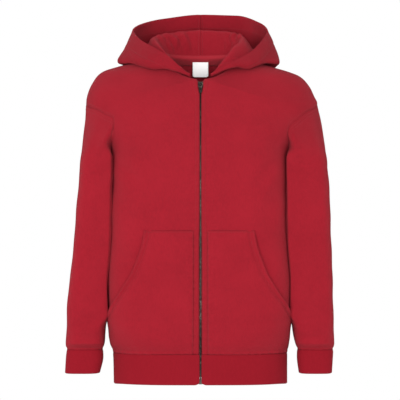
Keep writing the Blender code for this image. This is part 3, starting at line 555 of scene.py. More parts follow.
def copies_mesh(name, copies, faces):
    """Mesh of many copies of one body, from the points of each and its faces."""
    size = len(copies[0])
    all_faces = [tuple(number * size + corner for corner in face)
                 for number in range(len(copies)) for face in faces]
    mesh = bpy.data.meshes.new(name)
    mesh.from_pydata(np.concatenate(copies).tolist(), [], all_faces)
    return mesh


def add_object(name, data):
    """Object in the scene."""
    made = bpy.data.objects.new(name, data)
    bpy.context.scene.collection.objects.link(made)
    return made


def add_piece(name, mesh, looks, body, replaced=()):
    """Object that rides on a body and stands for the solids that it replaces."""
    made = add_object(name, mesh)
    for look in looks:
        made.data.materials.append(LOOKS[look])
    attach(made, body)
    if replaced:
        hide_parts(*replaced)
    return made


def outward_sign(points, outwards, closed=False):
    """Whether a grid's own normals point outwards (1) or inwards (-1)."""
    normals = grid_normals(points, closed)
    middle = normals[normals.shape[0] // 2, normals.shape[1] // 2]
    return 1.0 if float(np.dot(middle, outwards)) > 0 else -1.0


def add_wall(made, thickness, offset=-1.0):
    """Thickness for a piece drawn as its outer (offset -1) or middle (0) layer."""
    wall = made.modifiers.new("Thickness", "SOLIDIFY")
    wall.thickness = thickness
    wall.offset = offset
    wall.material_offset = len(made.data.materials) - 1


def add_cloth(name, points, looks, thickness, replaced=(), closed=False, flip=False,
              uv_start=None, outwards=None, offset=-1.0):
    """Wall of cloth on a grid of points, turned over if flip or outwards asks for it."""
    if outwards is not None:
        flip = outward_sign(points, outwards, closed) < 0
    mesh = grid_mesh(name, points, closed, flip, uv_start)
    made = add_piece(name, mesh, looks, GARMENT, replaced)
    add_wall(made, thickness, offset)
    return made


def rounded(distance, radius):
    """How far cloth falls away at an edge that is rounded by a radius."""
    share = np.clip(1 - distance / radius, 0, 1)
    return radius * (1 - np.sqrt(np.maximum(0.0, 1 - share ** 2)))


def groove(distance, seam):
    """Trough beside a sewn line, deepest at the line."""
    width, depth = GROOVES[seam]
    return depth * np.exp(-(distance / width) ** 2)


def segment_distance(points, start, end):
    """Distance from each point to a segment, and the place along it from 0 to 1."""
    along = end - start
    share = np.clip(((points - start) @ along) / max(float(along @ along), 1e-12), 0, 1)
    return np.linalg.norm(points - (start + share[..., None] * along), axis=-1), share


def crease(points, line, width, depth):
    """Soft trough (or ridge, if the depth is negative) along a line of points.

    A lower swell runs on both sides of it, and it fades out towards both ends.
    """
    best = np.full(points.shape[:-1], 1e9)
    place = np.zeros(points.shape[:-1])
    count = len(line) - 1
    for index in range(count):
        distance, share = segment_distance(points, line[index], line[index + 1])
        nearer = distance < best
        best = np.where(nearer, distance, best)
        place = np.where(nearer, (index + share) / count, place)
    fade = ease(place / 0.35) * ease((1 - place) / 0.35)
    near = best / width
    return -depth * fade * (np.exp(-near ** 2) - 0.42 * np.exp(-((near - 1.9) / 0.8) ** 2))


def surface_line(points, start_row, start_column, end_row, end_column, bow=0.0, count=10):
    """Line on a grid between two places given as shares of its rows and columns."""
    rows, columns = points.shape[:2]
    share = steps(count)
    swing = bow * np.sin(share * math.pi)
    row = np.clip(blend(start_row, end_row, share), 0, 1) * (rows - 1)
    column = np.clip(blend(start_column, end_column, share) + swing, 0, 1) * (columns - 1)
    return points[np.round(row).astype(int), np.round(column).astype(int)]


def undulation(seed, first, second, pitch, depth):
    """Gentle unevenness over two distances in metres, from a few crossed waves."""
    dice = np.random.default_rng(seed)
    total = np.zeros(np.broadcast(first, second).shape)
    for _ in range(7):
        angle = dice.uniform(0, math.pi)
        size = pitch * dice.uniform(0.6, 1.7)
        wave = (first * math.cos(angle) + second * math.sin(angle)) * 2 * math.pi / size
        total += np.sin(wave + dice.uniform(0, 2 * math.pi)) * dice.uniform(0.4, 1.0)
    return total / 4 * depth


STITCH_SIDES = 5
STITCH_RINGS = ((-0.5, 0.30), (-0.36, 0.95), (0.0, 1.0), (0.36, 0.95), (0.5, 0.30))


def stitch_template():
    """Points and faces of one stitch that lies along X, a unit long and wide."""
    angles = 2 * math.pi * np.arange(STITCH_SIDES) / STITCH_SIDES
    points = [(place, math.cos(angle) * size, math.sin(angle) * size)
              for place, size in STITCH_RINGS for angle in angles]
    index = np.arange(len(points)).reshape(-1, STITCH_SIDES)
    after = np.roll(index, -1, axis=1)
    faces = np.stack([index[:-1], after[:-1], after[1:], index[1:]], axis=-1).reshape(-1, 4)
    return np.array(points), faces.tolist() + [index[0, ::-1].tolist(), index[-1].tolist()]


def add_stitches(name, lines, look, length=0.0027, gap=0.0008, radius=0.00028):
    """Rows of sewn stitches; each line is (points, outward directions)."""
    template, faces = stitch_template()
    stitches = []
    for line, normals in lines:
        spots = even_line(line, length + gap)
        run = run_lengths(line)
        outs = values_at(np.linspace(0, run[-1], len(spots)), run, normals)
        forward = unit(spots[1:] - spots[:-1])
        aside = unit(np.cross(outs[1:] + outs[:-1], forward))
        out = np.cross(forward, aside)
        middle = (spots[1:] + spots[:-1]) / 2 + out * radius * 0.35
        stitches.extend(middle[:, None] + forward[:, None] * template[None, :, :1] * length
                        + aside[:, None] * template[None, :, 1:2] * radius
                        + out[:, None] * template[None, :, 2:] * radius)
    mesh = copies_mesh(name, stitches, faces)
    mesh.shade_smooth()
    return add_piece(name, mesh, [look], GARMENT)


def sewn(points, edge, distance, sign, skipped=(0, 0), closed=False):
    """A line beside a grid's edge with outward directions, ready for stitches.

    Points can be skipped at its start and end.
    """
    normals = grid_normals(points, closed) * sign
    both = np.concatenate([points, normals], axis=-1)
    if edge in ("first", "last"):
        lanes = both if edge == "first" else both[:, ::-1]
    else:
        lanes = both.transpose(1, 0, 2) if edge == "foot" else both[::-1].transpose(1, 0, 2)
    line = np.array([values_at(distance, run_lengths(lane[:, :3]), lane) for lane in lanes])
    if closed and edge in ("foot", "top"):
        line = np.concatenate([line, line[:1]])
    line = line[skipped[0]:len(line) - skipped[1]]
    return line[:, :3], unit(line[:, 3:])


# ---- cloth and metal

class Nodes:
    """Short way to write a material's nodes."""

    def __init__(self, name):
        self.material = bpy.data.materials.new(name)
        self.material.use_nodes = True
        self.tree = self.material.node_tree
        self.shader = self.tree.nodes["Principled BSDF"]

    def feed(self, socket, value):
        """Gives an input a number, a colour or another node's output."""
        if isinstance(value, bpy.types.NodeSocket):
            self.tree.links.new(value, socket)
        else:
            socket.default_value = value

    def set(self, **values):
        """Feeds the shader's inputs; underscores stand for spaces."""
        for name, value in values.items():
            self.feed(self.shader.inputs[name.replace("_", " ")], value)

    def node(self, kind, **inputs):
        """Adds a node; its inputs are numbers, colours or other nodes' outputs."""
        made = self.tree.nodes.new(kind)
        for name, value in inputs.items():
            self.feed(made.inputs[name.replace("_", " ")], value)
        return made

    def math(self, operation, first, second=0.0, third=0.0):
        """Result of one calculation."""
        made = self.tree.nodes.new("ShaderNodeMath")
        made.operation = operation
        for socket, value in zip(made.inputs, (first, second, third)):
            self.feed(socket, value)
        return made.outputs[0]

    def cloth_map(self):
        """The two distances on the cloth in metres."""
        uv = self.tree.nodes.new("ShaderNodeUVMap")
        uv.uv_map = "cloth"
        split = self.node("ShaderNodeSeparateXYZ", Vector=uv.outputs[0])
        return split.outputs[0], split.outputs[1]

    def place(self):
        """The point's place on the object in metres."""
        return self.tree.nodes.new("ShaderNodeTexCoord").outputs["Object"]

    def noise(self, vector, scale, detail=2.0, roughness=0.55):
        """Cloudy value from 0 to 1."""
        made = self.node("ShaderNodeTexNoise", Vector=vector, Scale=scale, Detail=detail,
                         Roughness=roughness)
        return made.outputs["Fac"]

    def stretched(self, vector, across, depth, along):
        """A place with its three axes scaled apart."""
        return self.node("ShaderNodeMapping", Vector=vector,
                         Scale=(across, depth, along)).outputs[0]

    def mixed(self, share, first, second):
        """Colour between two others."""
        made = self.tree.nodes.new("ShaderNodeMix")
        made.data_type = "RGBA"
        for index, value in ((0, share), (6, first), (7, second)):
            self.feed(made.inputs[index], value)
        return made.outputs[2]

    def dimmed(self, colour, factor):
        """A colour multiplied by a number that varies over the surface."""
        made = self.tree.nodes.new("ShaderNodeVectorMath")
        made.operation = "SCALE"
        self.feed(made.inputs[0], colour)
        self.feed(made.inputs["Scale"], factor)
        return made.outputs[0]

    def spread(self, value, low, high, to_low=0.0, to_high=1.0):
        """A value moved from one range to another and held there."""
        return self.node("ShaderNodeMapRange", Value=value, From_Min=low, From_Max=high,
                         To_Min=to_low, To_Max=to_high).outputs[0]

    def bump(self, height, distance, strength=1.0, below=None):
        """Relief from a height; another relief may lie below it."""
        made = self.node("ShaderNodeBump", Height=height, Distance=distance, Strength=strength)
        if below is not None:
            self.feed(made.inputs["Normal"], below)
        return made.outputs[0]


def shade(colour, factor):
    """A colour made lighter or darker."""
    return tuple(min(1.0, channel * factor) for channel in colour[:3]) + (1.0,)


def knit_height(nodes, wale, course):
    """Height of plain knit: columns of small V-shaped loops."""
    across, along = nodes.cloth_map()
    column = nodes.math("DIVIDE", across, wale)
    inside = nodes.math("ABSOLUTE", nodes.math("SUBTRACT", nodes.math("FRACT", column), 0.5))
    row = nodes.math("ADD", nodes.math("DIVIDE", along, course), inside)
    loop = nodes.math("SINE", nodes.math("MULTIPLY", row, 2 * math.pi))
    valley = nodes.math("SINE", nodes.math("MULTIPLY", inside, 2 * math.pi))
    ridge = nodes.math("POWER", nodes.math("MAXIMUM", valley, 0.0), 0.6)
    return nodes.math("MULTIPLY", ridge, nodes.math("MULTIPLY_ADD", loop, 0.25, 0.75))


def melange(nodes, colour, depth, fine_scale):
    """Colour of dyed yarn: a faint mottle, finer along the columns of the knit."""
    place = nodes.place()
    cloud = nodes.noise(place, 22.0, 3.0)
    yarn = nodes.noise(nodes.stretched(place, 1.0, 1.0, 0.35), fine_scale, 2.0, 0.7)
    both = nodes.math("MULTIPLY_ADD", yarn, 0.6, nodes.math("MULTIPLY", cloud, 0.4))
    share = nodes.spread(both, 0.32, 0.68)
    return nodes.mixed(share, shade(colour, 1 - depth), shade(colour, 1 + depth))


KNIT_SHEEN = {"Sheen_Roughness": 0.45, "Sheen_Tint": (1.0, 0.30, 0.34, 1.0),
              "Specular_IOR_Level": 0.06}
NAP_SCALE = 1500.0  # of the short fibres over the knit


def fleece_material(name, colour, wale):
    """Sweatshirt knit: fine columns of loops under a short nap, with painted shade in the
    loops' valleys.
    """
    nodes = Nodes(name)
    nodes.set(Roughness=0.92, Sheen_Weight=0.10, **KNIT_SHEEN)
    knit = knit_height(nodes, wale, wale * 0.72)
    yarn = melange(nodes, colour, 0.10, 520.0)
    # Painted shade: the colour is made darker where the knit's relief is low, in the valleys
    # between the loops.
    valley = nodes.math("MULTIPLY_ADD", knit, 0.20, 0.84)
    place = nodes.place()
    fuzz = nodes.noise(place, NAP_SCALE, 3.0, 0.7)
    slub = nodes.noise(nodes.stretched(place, 1.0, 1.0, 0.25), 230.0, 3.0, 0.6)
    relief = nodes.bump(knit, 0.00045, 0.8)
    relief = nodes.bump(slub, 0.0006, 0.35, relief)
    nodes.set(Base_Color=nodes.dimmed(yarn, valley),
              Normal=nodes.bump(fuzz, 0.0003, 0.40, relief))
    return nodes.material


def brushed_material(name, colour):
    """Inside of the sweatshirt cloth: raised, matted fibres."""
    nodes = Nodes(name)
    nodes.set(Roughness=1.0, Sheen_Weight=0.20, Sheen_Roughness=0.6,
              Sheen_Tint=(1.0, 0.35, 0.38, 1.0), Specular_IOR_Level=0.1)
    place = nodes.place()
    tufts = nodes.noise(place, 420.0, 5.0, 0.75)
    clumps = nodes.noise(place, 140.0, 3.0, 0.6)
    relief = nodes.bump(clumps, 0.0015, 0.4, nodes.bump(tufts, 0.0010, 0.6))
    nodes.set(Base_Color=melange(nodes, colour, 0.16, 300.0), Normal=relief)
    return nodes.material


def rib_material(name, colour, wale):
    """Rib knit: loops on the raised columns, and painted shade in the furrows."""
    nodes = Nodes(name)
    nodes.set(Roughness=0.9, Sheen_Weight=0.08, **KNIT_SHEEN)
    across, _ = nodes.cloth_map()
    wave = nodes.math("COSINE", nodes.math("MULTIPLY", across, 2 * math.pi / wale))
    raised = nodes.math("MULTIPLY_ADD", wave, 0.5, 0.5)
    base = melange(nodes, colour, 0.08, 600.0)
    # Painted shade: the furrows between the ribs are given a darker copy of the colour.
    rib_colour_painted_shade = nodes.mixed(nodes.spread(raised, 0.0, 0.6), shade(colour, 0.93), base)
    relief = nodes.bump(knit_height(nodes, wale, wale * 0.40), 0.00025, 0.45)
    fuzz = nodes.noise(nodes.place(), NAP_SCALE, 3.0, 0.7)
    nodes.set(Base_Color=rib_colour_painted_shade, Normal=nodes.bump(fuzz, 0.0003, 0.35, relief))
    return nodes.material


def woven_material(name, colour, pitch, roughness, relief_depth):
    """Plain weave or twill tape: threads that cross at right angles, with painted shade in the
    hollows of the weave.
    """
    nodes = Nodes(name)
    nodes.set(Roughness=roughness, Sheen_Weight=0.08, Specular_IOR_Level=0.25)
    across, along = nodes.cloth_map()
    warp = nodes.math("SINE", nodes.math("MULTIPLY", across, 2 * math.pi / pitch))
    weft = nodes.math("SINE", nodes.math("MULTIPLY", along, 2 * math.pi / pitch))
    height = nodes.math("MULTIPLY_ADD", nodes.math("MULTIPLY", warp, weft), 0.5, 0.5)
    grain = nodes.noise(nodes.place(), 900.0, 2.0)
    # The colour follows the weave's relief, mixed with random grain: painted shade in the
    # hollows and painted highlight on the raised threads.
    share = nodes.spread(nodes.math("MULTIPLY_ADD", height, 0.5,
                                    nodes.math("MULTIPLY", grain, 0.5)), 0.2, 0.8)
    nodes.set(Base_Color=nodes.mixed(share, shade(colour, 0.86), shade(colour, 1.06)),
              Normal=nodes.bump(height, relief_depth, 0.5))
    return nodes.material


def thread_material(name, colour):
    """Sewing thread: twisted fibres with a slight gloss."""
    nodes = Nodes(name)
    nodes.set(Roughness=0.7, Sheen_Weight=0.05, Specular_IOR_Level=0.25)
    place = nodes.place()
    twist = nodes.noise(nodes.stretched(place, 1.0, 1.0, 2.5), 1400.0, 2.0)
    nodes.set(Base_Color=nodes.mixed(twist, shade(colour, 0.8), shade(colour, 1.15)),
              Normal=nodes.bump(twist, 0.0001, 0.5))
    return nodes.material


def metal_material(name, colour, worn_and_glint_colour, rubbed_and_glint_strength, roughness):
    """Plated zip metal: dark, rubbed lighter in fine scratches (wear) and in larger patches
    (painted glints).
    """
    nodes = Nodes(name)
    nodes.set(Metallic=1.0)
    place = nodes.place()
    cloud = nodes.noise(place, 260.0, 4.0, 0.65)
    scratch = nodes.noise(nodes.stretched(place, 6.0, 6.0, 0.6), 700.0, 3.0, 0.6)
    # The larger patches that lighten the metal are painted glints: lighter colour where
    # highlights would fall.
    patch = nodes.spread(nodes.noise(place, 34.0, 1.0), 0.46, 0.60, 0.45, 1.0)
    # Fine scratches and clouds stand for rubbed wear; times the patches, the lighter colour is
    # partly wear and partly painted glints.
    rubbed_and_glint = nodes.spread(nodes.math("MULTIPLY_ADD", scratch, 0.4,
                                     nodes.math("MULTIPLY", cloud, 0.6)), 0.47, 0.62, 0.0, rubbed_and_glint_strength)
    rubbed_and_glint = nodes.math("MULTIPLY", rubbed_and_glint, patch)
    nodes.set(Base_Color=nodes.mixed(rubbed_and_glint, colour, worn_and_glint_colour),
              Roughness=nodes.spread(rubbed_and_glint, 0.0, 1.0, roughness + 0.10, roughness),
              Normal=nodes.bump(scratch, 0.00006, 0.5))
    return nodes.material


LOOKS = {}
CLOTH_LOOKS = ("fleece", "brushed")  # outside and inside of the body and sleeves
# The hood's outer finish is a darker copy of the body's cloth: painted shade for the light that
# its upturned faces lose.
HOOD_LOOKS = ("hood", "fleece")
HOOD_PAINTED_SHADE = 0.86  # of the body's colour, outside the hood


def make_looks(colours, cloth):
    """Makes every finish once, from the settings."""
    body, rib, metal, label = (shade(colour, 1) for colour in
                               (colours.body, colours.rib, colours.metal, colours.label))
    LOOKS["fleece"] = fleece_material("red sweatshirt knit", body, cloth.wale)
    # Painted shade: the hood's outside is the body's colour made darker.
    LOOKS["hood"] = fleece_material("red hood knit", shade(body, HOOD_PAINTED_SHADE), cloth.wale)
    # Painted light: the brushed inside is a little lighter than the body, to brighten the
    # shaded inside of the body.
    LOOKS["brushed"] = brushed_material("brushed inside", shade(body, 1.05))
    LOOKS["rib"] = rib_material("red rib knit", rib, cloth.rib_pitch)
    LOOKS["tape"] = woven_material("zip tape weave", shade(body, 0.62), 0.0007, 0.8, 0.0002)
    # Painted light: the neck tape is lighter than the body, to brighten it in the shade of the
    # neck.
    LOOKS["neck_tape"] = woven_material("neck tape twill", shade(body, 1.25), 0.0012, 0.85,
                                        0.0003)
    LOOKS["label"] = woven_material("label satin", label, 0.00045, 0.6, 0.00008)
    LOOKS["thread"] = thread_material("red thread", shade(body, 0.86))
    LOOKS["label_thread"] = thread_material("white thread", (0.80, 0.80, 0.79, 1.0))
    # The lighter colour given to the zip metal and the teeth is partly wear and partly painted
    # glints.
    LOOKS["metal"] = metal_material("dark zip metal", metal, (0.36, 0.30, 0.24, 1.0), 0.45,
                                    0.34)
    LOOKS["teeth"] = metal_material("zip teeth", shade(metal, 0.85), (0.40, 0.30, 0.26, 1.0),
                                    0.40, 0.34)


# ---- body panels

# Soft folds of the body, as lines seen from the front or the back, in metres.
FRONT_FOLDS = table(
    "x z to_x to_z width depth",
    (-0.132, -0.160, -0.088, -0.205, 0.0085, 0.0016),
    (-0.136, -0.190, -0.100, -0.262, 0.0110, 0.0013),
    (-0.118, -0.118, -0.082, -0.138, 0.0075, 0.0012),
    (-0.100, -0.085, -0.050, -0.112, 0.0120, 0.0010),
    (-0.128, -0.290, -0.098, -0.352, 0.0100, 0.0010),
    (0.130, -0.164, 0.092, -0.214, 0.0090, 0.0018),
    (0.132, -0.205, 0.106, -0.292, 0.0110, 0.0014),
    (0.114, -0.122, 0.078, -0.146, 0.0080, 0.0012),
    (0.096, -0.080, 0.052, -0.104, 0.0120, 0.0010),
    (0.062, -0.200, 0.048, -0.272, 0.0130, 0.0009),
    (0.126, -0.300, 0.104, -0.372, 0.0090, 0.0012),
    (-0.052, -0.215, -0.040, -0.268, 0.0130, 0.0008),
)
BACK_FOLDS = table(
    "x z to_x to_z width depth",
    (-0.128, -0.168, -0.070, -0.240, 0.0110, 0.0020),
    (-0.124, -0.215, -0.080, -0.310, 0.0130, 0.0016),
    (0.126, -0.172, 0.074, -0.236, 0.0110, 0.0019),
    (0.122, -0.224, 0.086, -0.322, 0.0130, 0.0015),
    (-0.040, -0.150, -0.030, -0.260, 0.0160, 0.0012),
    (0.052, -0.170, 0.040, -0.300, 0.0160, 0.0011),
    (-0.090, -0.385, -0.040, -0.420, 0.0110, 0.0016),
    (0.030, -0.400, 0.096, -0.380, 0.0110, 0.0015),
    (-0.020, -0.352, 0.040, -0.366, 0.0120, 0.0010),
)
GATHER_PITCH = 0.0105  # of the small gathers that the hem band draws in
GATHER_DEPTH = 0.0005
GATHER_REACH = 0.011  # height over which they fade
RIPPLE_PITCH = 0.012  # of the ripples beside the zip
RIPPLE_DEPTH = 0.00045


def fold_field(folds, x, z):
    """Height of the folds of a face at places seen from the front."""
    points = np.stack([x, z], axis=-1)
    total = np.zeros(x.shape)
    for fold in folds:
        bend = np.array([(fold.to_z - fold.z), -(fold.to_x - fold.x)]) * 0.12
        start, end = np.array([fold.x, fold.z]), np.array([fold.to_x, fold.to_z])
        share = steps(8)[:, None]
        line = start * (1 - share) + end * share + bend * np.sin(share * math.pi)
        total += crease(points, line, fold.width, fold.depth)
    return total


def torso_relief(side, face, around, height):
    """How far the cloth of the body stands from its plain form."""
    flat = torso_point(side, face, around, height)
    x, z = flat[..., 0], flat[..., 2]
    girth = side * around * QUARTER_GIRTH
    calm = (1 - 0.9 * ease((around - 0.72) / 0.22)) * ease((-0.035 - z) / 0.05)
    relief = undulation(3 if face == FRONT else 4, girth, z * 0.7, 0.12, 0.0016) * calm
    relief = relief + undulation(9 + face, girth * 1.4, z, 0.045, 0.0004) * calm
    relief = relief + fold_field(FRONT_FOLDS if face == FRONT else BACK_FOLDS, x, z) * calm
    above = z - HEM_TOP
    gathers = np.sin(girth * 2 * math.pi / GATHER_PITCH
                     + 2.2 * np.sin(girth * 31.0 + face) + above * 60)
    relief = relief + gathers * GATHER_DEPTH * np.exp(-np.abs(above) / GATHER_REACH)
    relief = relief - groove(above, "hem") - groove(above - HEM_GROOVE_RISE, "over hem")
    if face == FRONT:
        beside = np.abs(x) - GAP(z)
        ripple = np.sin(z * 2 * math.pi / RIPPLE_PITCH + 1.7 * np.sin(z * 37.0) + side)
        near = np.exp(-((beside - 0.008) / 0.010) ** 2) * ease((-0.05 - z) / 0.02)
        relief = relief + ripple * RIPPLE_DEPTH * near
        relief = relief - groove(beside - ZIP_ROW, "zip")
    return relief


def upper_rows(cloth):
    """Rows of a panel above the underarm."""
    return cloth.panel_rows * 2 // 5


def neck_row(cloth):
    """Last row of a panel below the neckline."""
    return cloth.panel_rows + int(NECK_CORNER * upper_rows(cloth))


def panel_grid(side, face, rows_below, rows_above, columns):
    """(around, height) over half of the front or of the back."""
    across = steps(columns)
    low = np.linspace(BODY_END, UNDERARM, rows_below + 1)[:-1]
    start = middle_around(side, face, low)
    low_around = blend(start[:, None], 1.0, across)
    low_height = np.repeat(low[:, None], columns + 1, axis=1)
    share = steps(rows_above)
    start_turn = math.asin(GAP(-FRONT_NECK_DROP) / NECK_HALF_WIDTH) if face == FRONT else 0.0
    turn = blend(start_turn, math.pi / 2,
                 np.clip((share - NECK_CORNER) / (1 - NECK_CORNER), 0, 1))
    corner_height, corner_around = neckline(side, face, start_turn)
    neck_height, neck_around = neckline(side, face, turn)
    straight = blend(UNDERARM, corner_height, np.clip(share / NECK_CORNER, 0, 1))
    on_middle = share <= NECK_CORNER
    inner_height = np.where(on_middle, straight, neck_height)
    inner_around = np.where(on_middle, middle_around(side, face, straight),
                            np.maximum(neck_around, corner_around))
    width_at_tip = torso_sizes(side, face, SHOULDER_TIP)[0]
    arch = RIDGE[side](blend(NECK_HALF_WIDTH, width_at_tip, across)) - SHOULDER_TIP * across
    high_around = blend(inner_around[:, None], ARMHOLE_AROUND[side](share)[:, None], across)
    high_height = (blend(inner_height[:, None], ARMHOLE_HEIGHT[side](share)[:, None], across)
                   + share[:, None] ** 2 * arch)
    return (np.concatenate([low_around, high_around]),
            np.concatenate([low_height, high_height]))


def drawn_to_zip(distance, height):
    """How far cloth at a distance from the zip gap closes in over the zip."""
    return (GAP(height) - SLIT_HALF(height)) * np.exp(-(distance / 0.005) ** 2)


def panel_points(side, face, cloth):
    """Outer face of a panel, with its folds, seam grooves and turned edges."""
    rows_below, rows_above = cloth.panel_rows, upper_rows(cloth)
    around, height = panel_grid(side, face, rows_below, rows_above, cloth.panel_columns)
    relief = torso_relief(side, face, around, height)
    plain = torso_layer(side, face, around, height)
    inner, outer = from_edge(plain, "first"), from_edge(plain, "last")
    shoulder = from_edge(plain, "top")
    above = np.arange(len(plain)) >= rows_below
    neck = np.arange(len(plain)) >= rows_below + int(round(NECK_CORNER * rows_above))
    relief -= np.where(above[:, None], groove(outer, "armhole"), groove(outer, "side"))
    relief -= np.where(above[:, None], groove(shoulder, "shoulder"), 0)
    below = rounded(inner, ZIP_EDGE) if face == FRONT else 0
    relief -= np.where(neck[:, None], groove(inner, "neck"), below)
    points = torso_layer(side, face, around, height, relief)
    points[:, -1] += unit(points[:, -1] - points[:, -2]) * SEAM
    points[0, :, 2] -= 2 * SEAM
    if face == FRONT:
        points[..., 0] -= side * np.where(neck[:, None], 0, drawn_to_zip(inner, height))
    return points


def make_fronts(cloth):
    """Both fronts, with sewing beside the zip, neckline, armhole and hem."""
    lines, neck_lines = [], []
    corner = neck_row(cloth) + 1
    for side, name in SIDE_NAMES.items():
        points = panel_points(side, FRONT, cloth)
        made = add_cloth("front_" + name + "_cloth", points, CLOTH_LOOKS, cloth.thickness,
                         ["front_" + name], outwards=(0, -1, 0), uv_start=0)
        sign = outward_sign(points, (0, -1, 0))
        upper = points[cloth.panel_rows:]
        lines.append(sewn(points[:corner], "first", ZIP_ROW, sign, (3, 0)))
        neck_lines.append(sewn(points[corner + 1:], "first", NECK_ROW, sign, (1, 1)))
        neck_lines.append(sewn(upper, "last", ARMHOLE_ROW, sign, (5, 5)))
        lines += [sewn(points, "foot", distance, sign, (4, 0)) for distance in SEAM_ROWS]
    add_stitches("front_stitches", lines, "thread")
    add_stitches("neck_and_armhole_stitches", neck_lines, "thread")


def make_back(cloth):
    """The back in one piece, with sewing at the neck, armholes and hem."""
    halves, lines = [], []
    for side in (RIGHT, LEFT):
        points = panel_points(side, BACK, cloth)
        sign = outward_sign(points, (0, 1, 0))
        halves.append(grid_mesh("half", points, flip=sign < 0, uv_start=0))
        upper = points[cloth.panel_rows:]
        lines += [sewn(points, "foot", distance, sign) for distance in SEAM_ROWS]
        lines.append(sewn(upper, "last", ARMHOLE_ROW, sign, (5, 5)))
        lines.append(sewn(points[neck_row(cloth) + 2:], "first", NECK_ROW, sign, (0, 1)))
    both = form_of(halves)
    bmesh.ops.remove_doubles(both, verts=both.verts[:], dist=0.0001)
    mesh = mesh_of(both, "back")
    mesh.shade_smooth()
    made = add_piece("back_cloth", mesh, CLOTH_LOOKS, GARMENT, ["back"])
    add_wall(made, cloth.thickness)
    add_stitches("back_stitches", lines, "thread")


MOUTH_LIFT = 0.0032  # by which a pocket's mouth stands further off
POCKET_CAUGHT = 0.030  # height over which its foot is held by the hem's seam
BAG_DEPTH = 0.0011  # of a pocket's own unevenness


def make_pockets(cloth):
    """Patch pockets, with turned edges and two rows of sewing at the mouth."""
    rows, columns = cloth.pocket_rows, cloth.pocket_columns
    mouth_foot = POCKET_MOUTH[-1].height
    low = np.linspace(POCKET_FOOT, mouth_foot, rows // 3 + 1)[:-1]
    heights = np.concatenate([low, np.linspace(mouth_foot, POCKET_TOP, rows - rows // 3 + 1)])
    lines = []
    for side, name in SIDE_NAMES.items():
        start = around_at(side, FRONT, POCKET_START, heights)
        side_seam = torso_sizes(side, FRONT, heights)[0]
        end = around_at(side, FRONT, MOUTH(heights) * side_seam, heights)
        around = blend(start[:, None], end[:, None], steps(columns))
        height = np.repeat(heights[:, None], columns + 1, axis=1)
        plain = torso_layer(side, FRONT, around, height)
        mouth, top = from_edge(plain, "last"), from_edge(plain, "top")
        front = from_edge(plain, "first")
        open_part = ease((height - mouth_foot + 0.02) / 0.03)
        outer_part = ease((around - 0.78) / 0.15)
        relief = torso_relief(side, FRONT, around, height)
        caught = ease(from_edge(plain, "foot") / POCKET_CAUGHT)
        relief += (cloth.pocket_lift * (1 - 0.62 * outer_part) * (0.55 + 0.45 * caught)
                   * (0.6 + 0.4 * ease(front / 0.010)))
        bag = undulation(21 + side, side * around * QUARTER_GIRTH, height, 0.06, BAG_DEPTH)
        relief += bag * ease(mouth / 0.03) * ease(top / 0.03) * ease(front / 0.02)
        relief += (MOUTH_LIFT * open_part * np.exp(-mouth / 0.020) * ease(top / 0.02)
                   * (1 - outer_part))
        relief -= groove(mouth - POCKET_HEM, "pocket hem") * open_part
        relief -= groove(mouth - POCKET_GROOVE, "pocket mouth") * open_part
        relief -= groove(top - POCKET_GROOVE, "pocket top")
        edge = np.minimum(np.minimum(mouth, top), front)
        relief -= rounded(edge, TURNED_EDGE)
        points = torso_layer(side, FRONT, around, height, relief)
        made = add_cloth("pocket_" + name + "_cloth", points, ["fleece"], POCKET_CLOTH,
                         ["pocket_" + name], outwards=(0, -1, 0), uv_start=0)
        sign = outward_sign(points, (0, -1, 0))
        lines += [sewn(points, "last", distance, sign, (rows // 3 - 2, 1))
                  for distance in MOUTH_ROWS]
        lines.append(sewn(points, "top", POCKET_TOP_ROW, sign, (1, 1)))
        lines.append(sewn(points, "first", POCKET_FRONT_ROW, sign, (2, 1)))
    add_stitches("pocket_stitches", lines, "thread")


RIB_CELLS = 5  # grid cells to each rib
BAND_EDGE = 0.004  # of a band's foot and top, which are drawn more closely


def band_heights(foot, top, counts):
    """Heights of a band's rows, from numbers of heights at its foot, middle and top."""
    ends = (foot, foot + BAND_EDGE, top - BAND_EDGE, top)
    parts = [np.linspace(low, high, count)[:-1]
             for low, high, count in zip(ends, ends[1:], counts)]
    return np.append(np.concatenate(parts), top)


def rib_band(rows, pitch, depth, closed, outwards):
    """A band of ribs on rows of points: its outer grid and its map."""
    count = int(round(run_lengths(rows, 1)[0, -1] / pitch)) * RIB_CELLS
    base = np.array([divided(row, count) for row in rows])
    if closed:
        base = base[:, :-1]
    normals = grid_normals(base, closed) * outward_sign(base, outwards, closed)
    wave = 0.5 + 0.5 * np.cos(2 * math.pi * np.arange(base.shape[1]) / RIB_CELLS)
    foot, top = from_edge(base, "foot"), from_edge(base, "top")
    fade = ease(foot / 0.0030) * ease(top / 0.0025)
    lift = (depth * (wave ** 0.8 - 1.0) * fade - rounded(foot, TURNED_EDGE)
            - groove(top, "band"))
    points = base + normals * lift[..., None]
    columns = base.shape[1] + (1 if closed else 0)
    across = np.arange(columns) * pitch / RIB_CELLS
    along = closed_rows(foot) if closed else foot
    return points, np.stack([np.broadcast_to(across, along.shape), along], axis=-1)


def add_band(name, points, uvs, closed, outwards, thickness, replaced):
    """Object for a band of ribs."""
    sign = outward_sign(points, outwards, closed)
    mesh = grid_mesh(name, points, closed, sign < 0, uvs=uvs)
    made = add_piece(name, mesh, ["rib"], GARMENT, replaced)
    add_wall(made, thickness)
    return made


HEM_SAG = 0.0011  # of the band's foot, at the middle
HEM_SIDE_SAG = 0.0030  # and at the sides
HEM_CORNER = 0.0020  # by which it rises again at the side seams
HEM_ZIP_CORNER = 0.0024  # and beside the zip
HEM_PLACES = 200  # at which its rows are measured, on each quarter


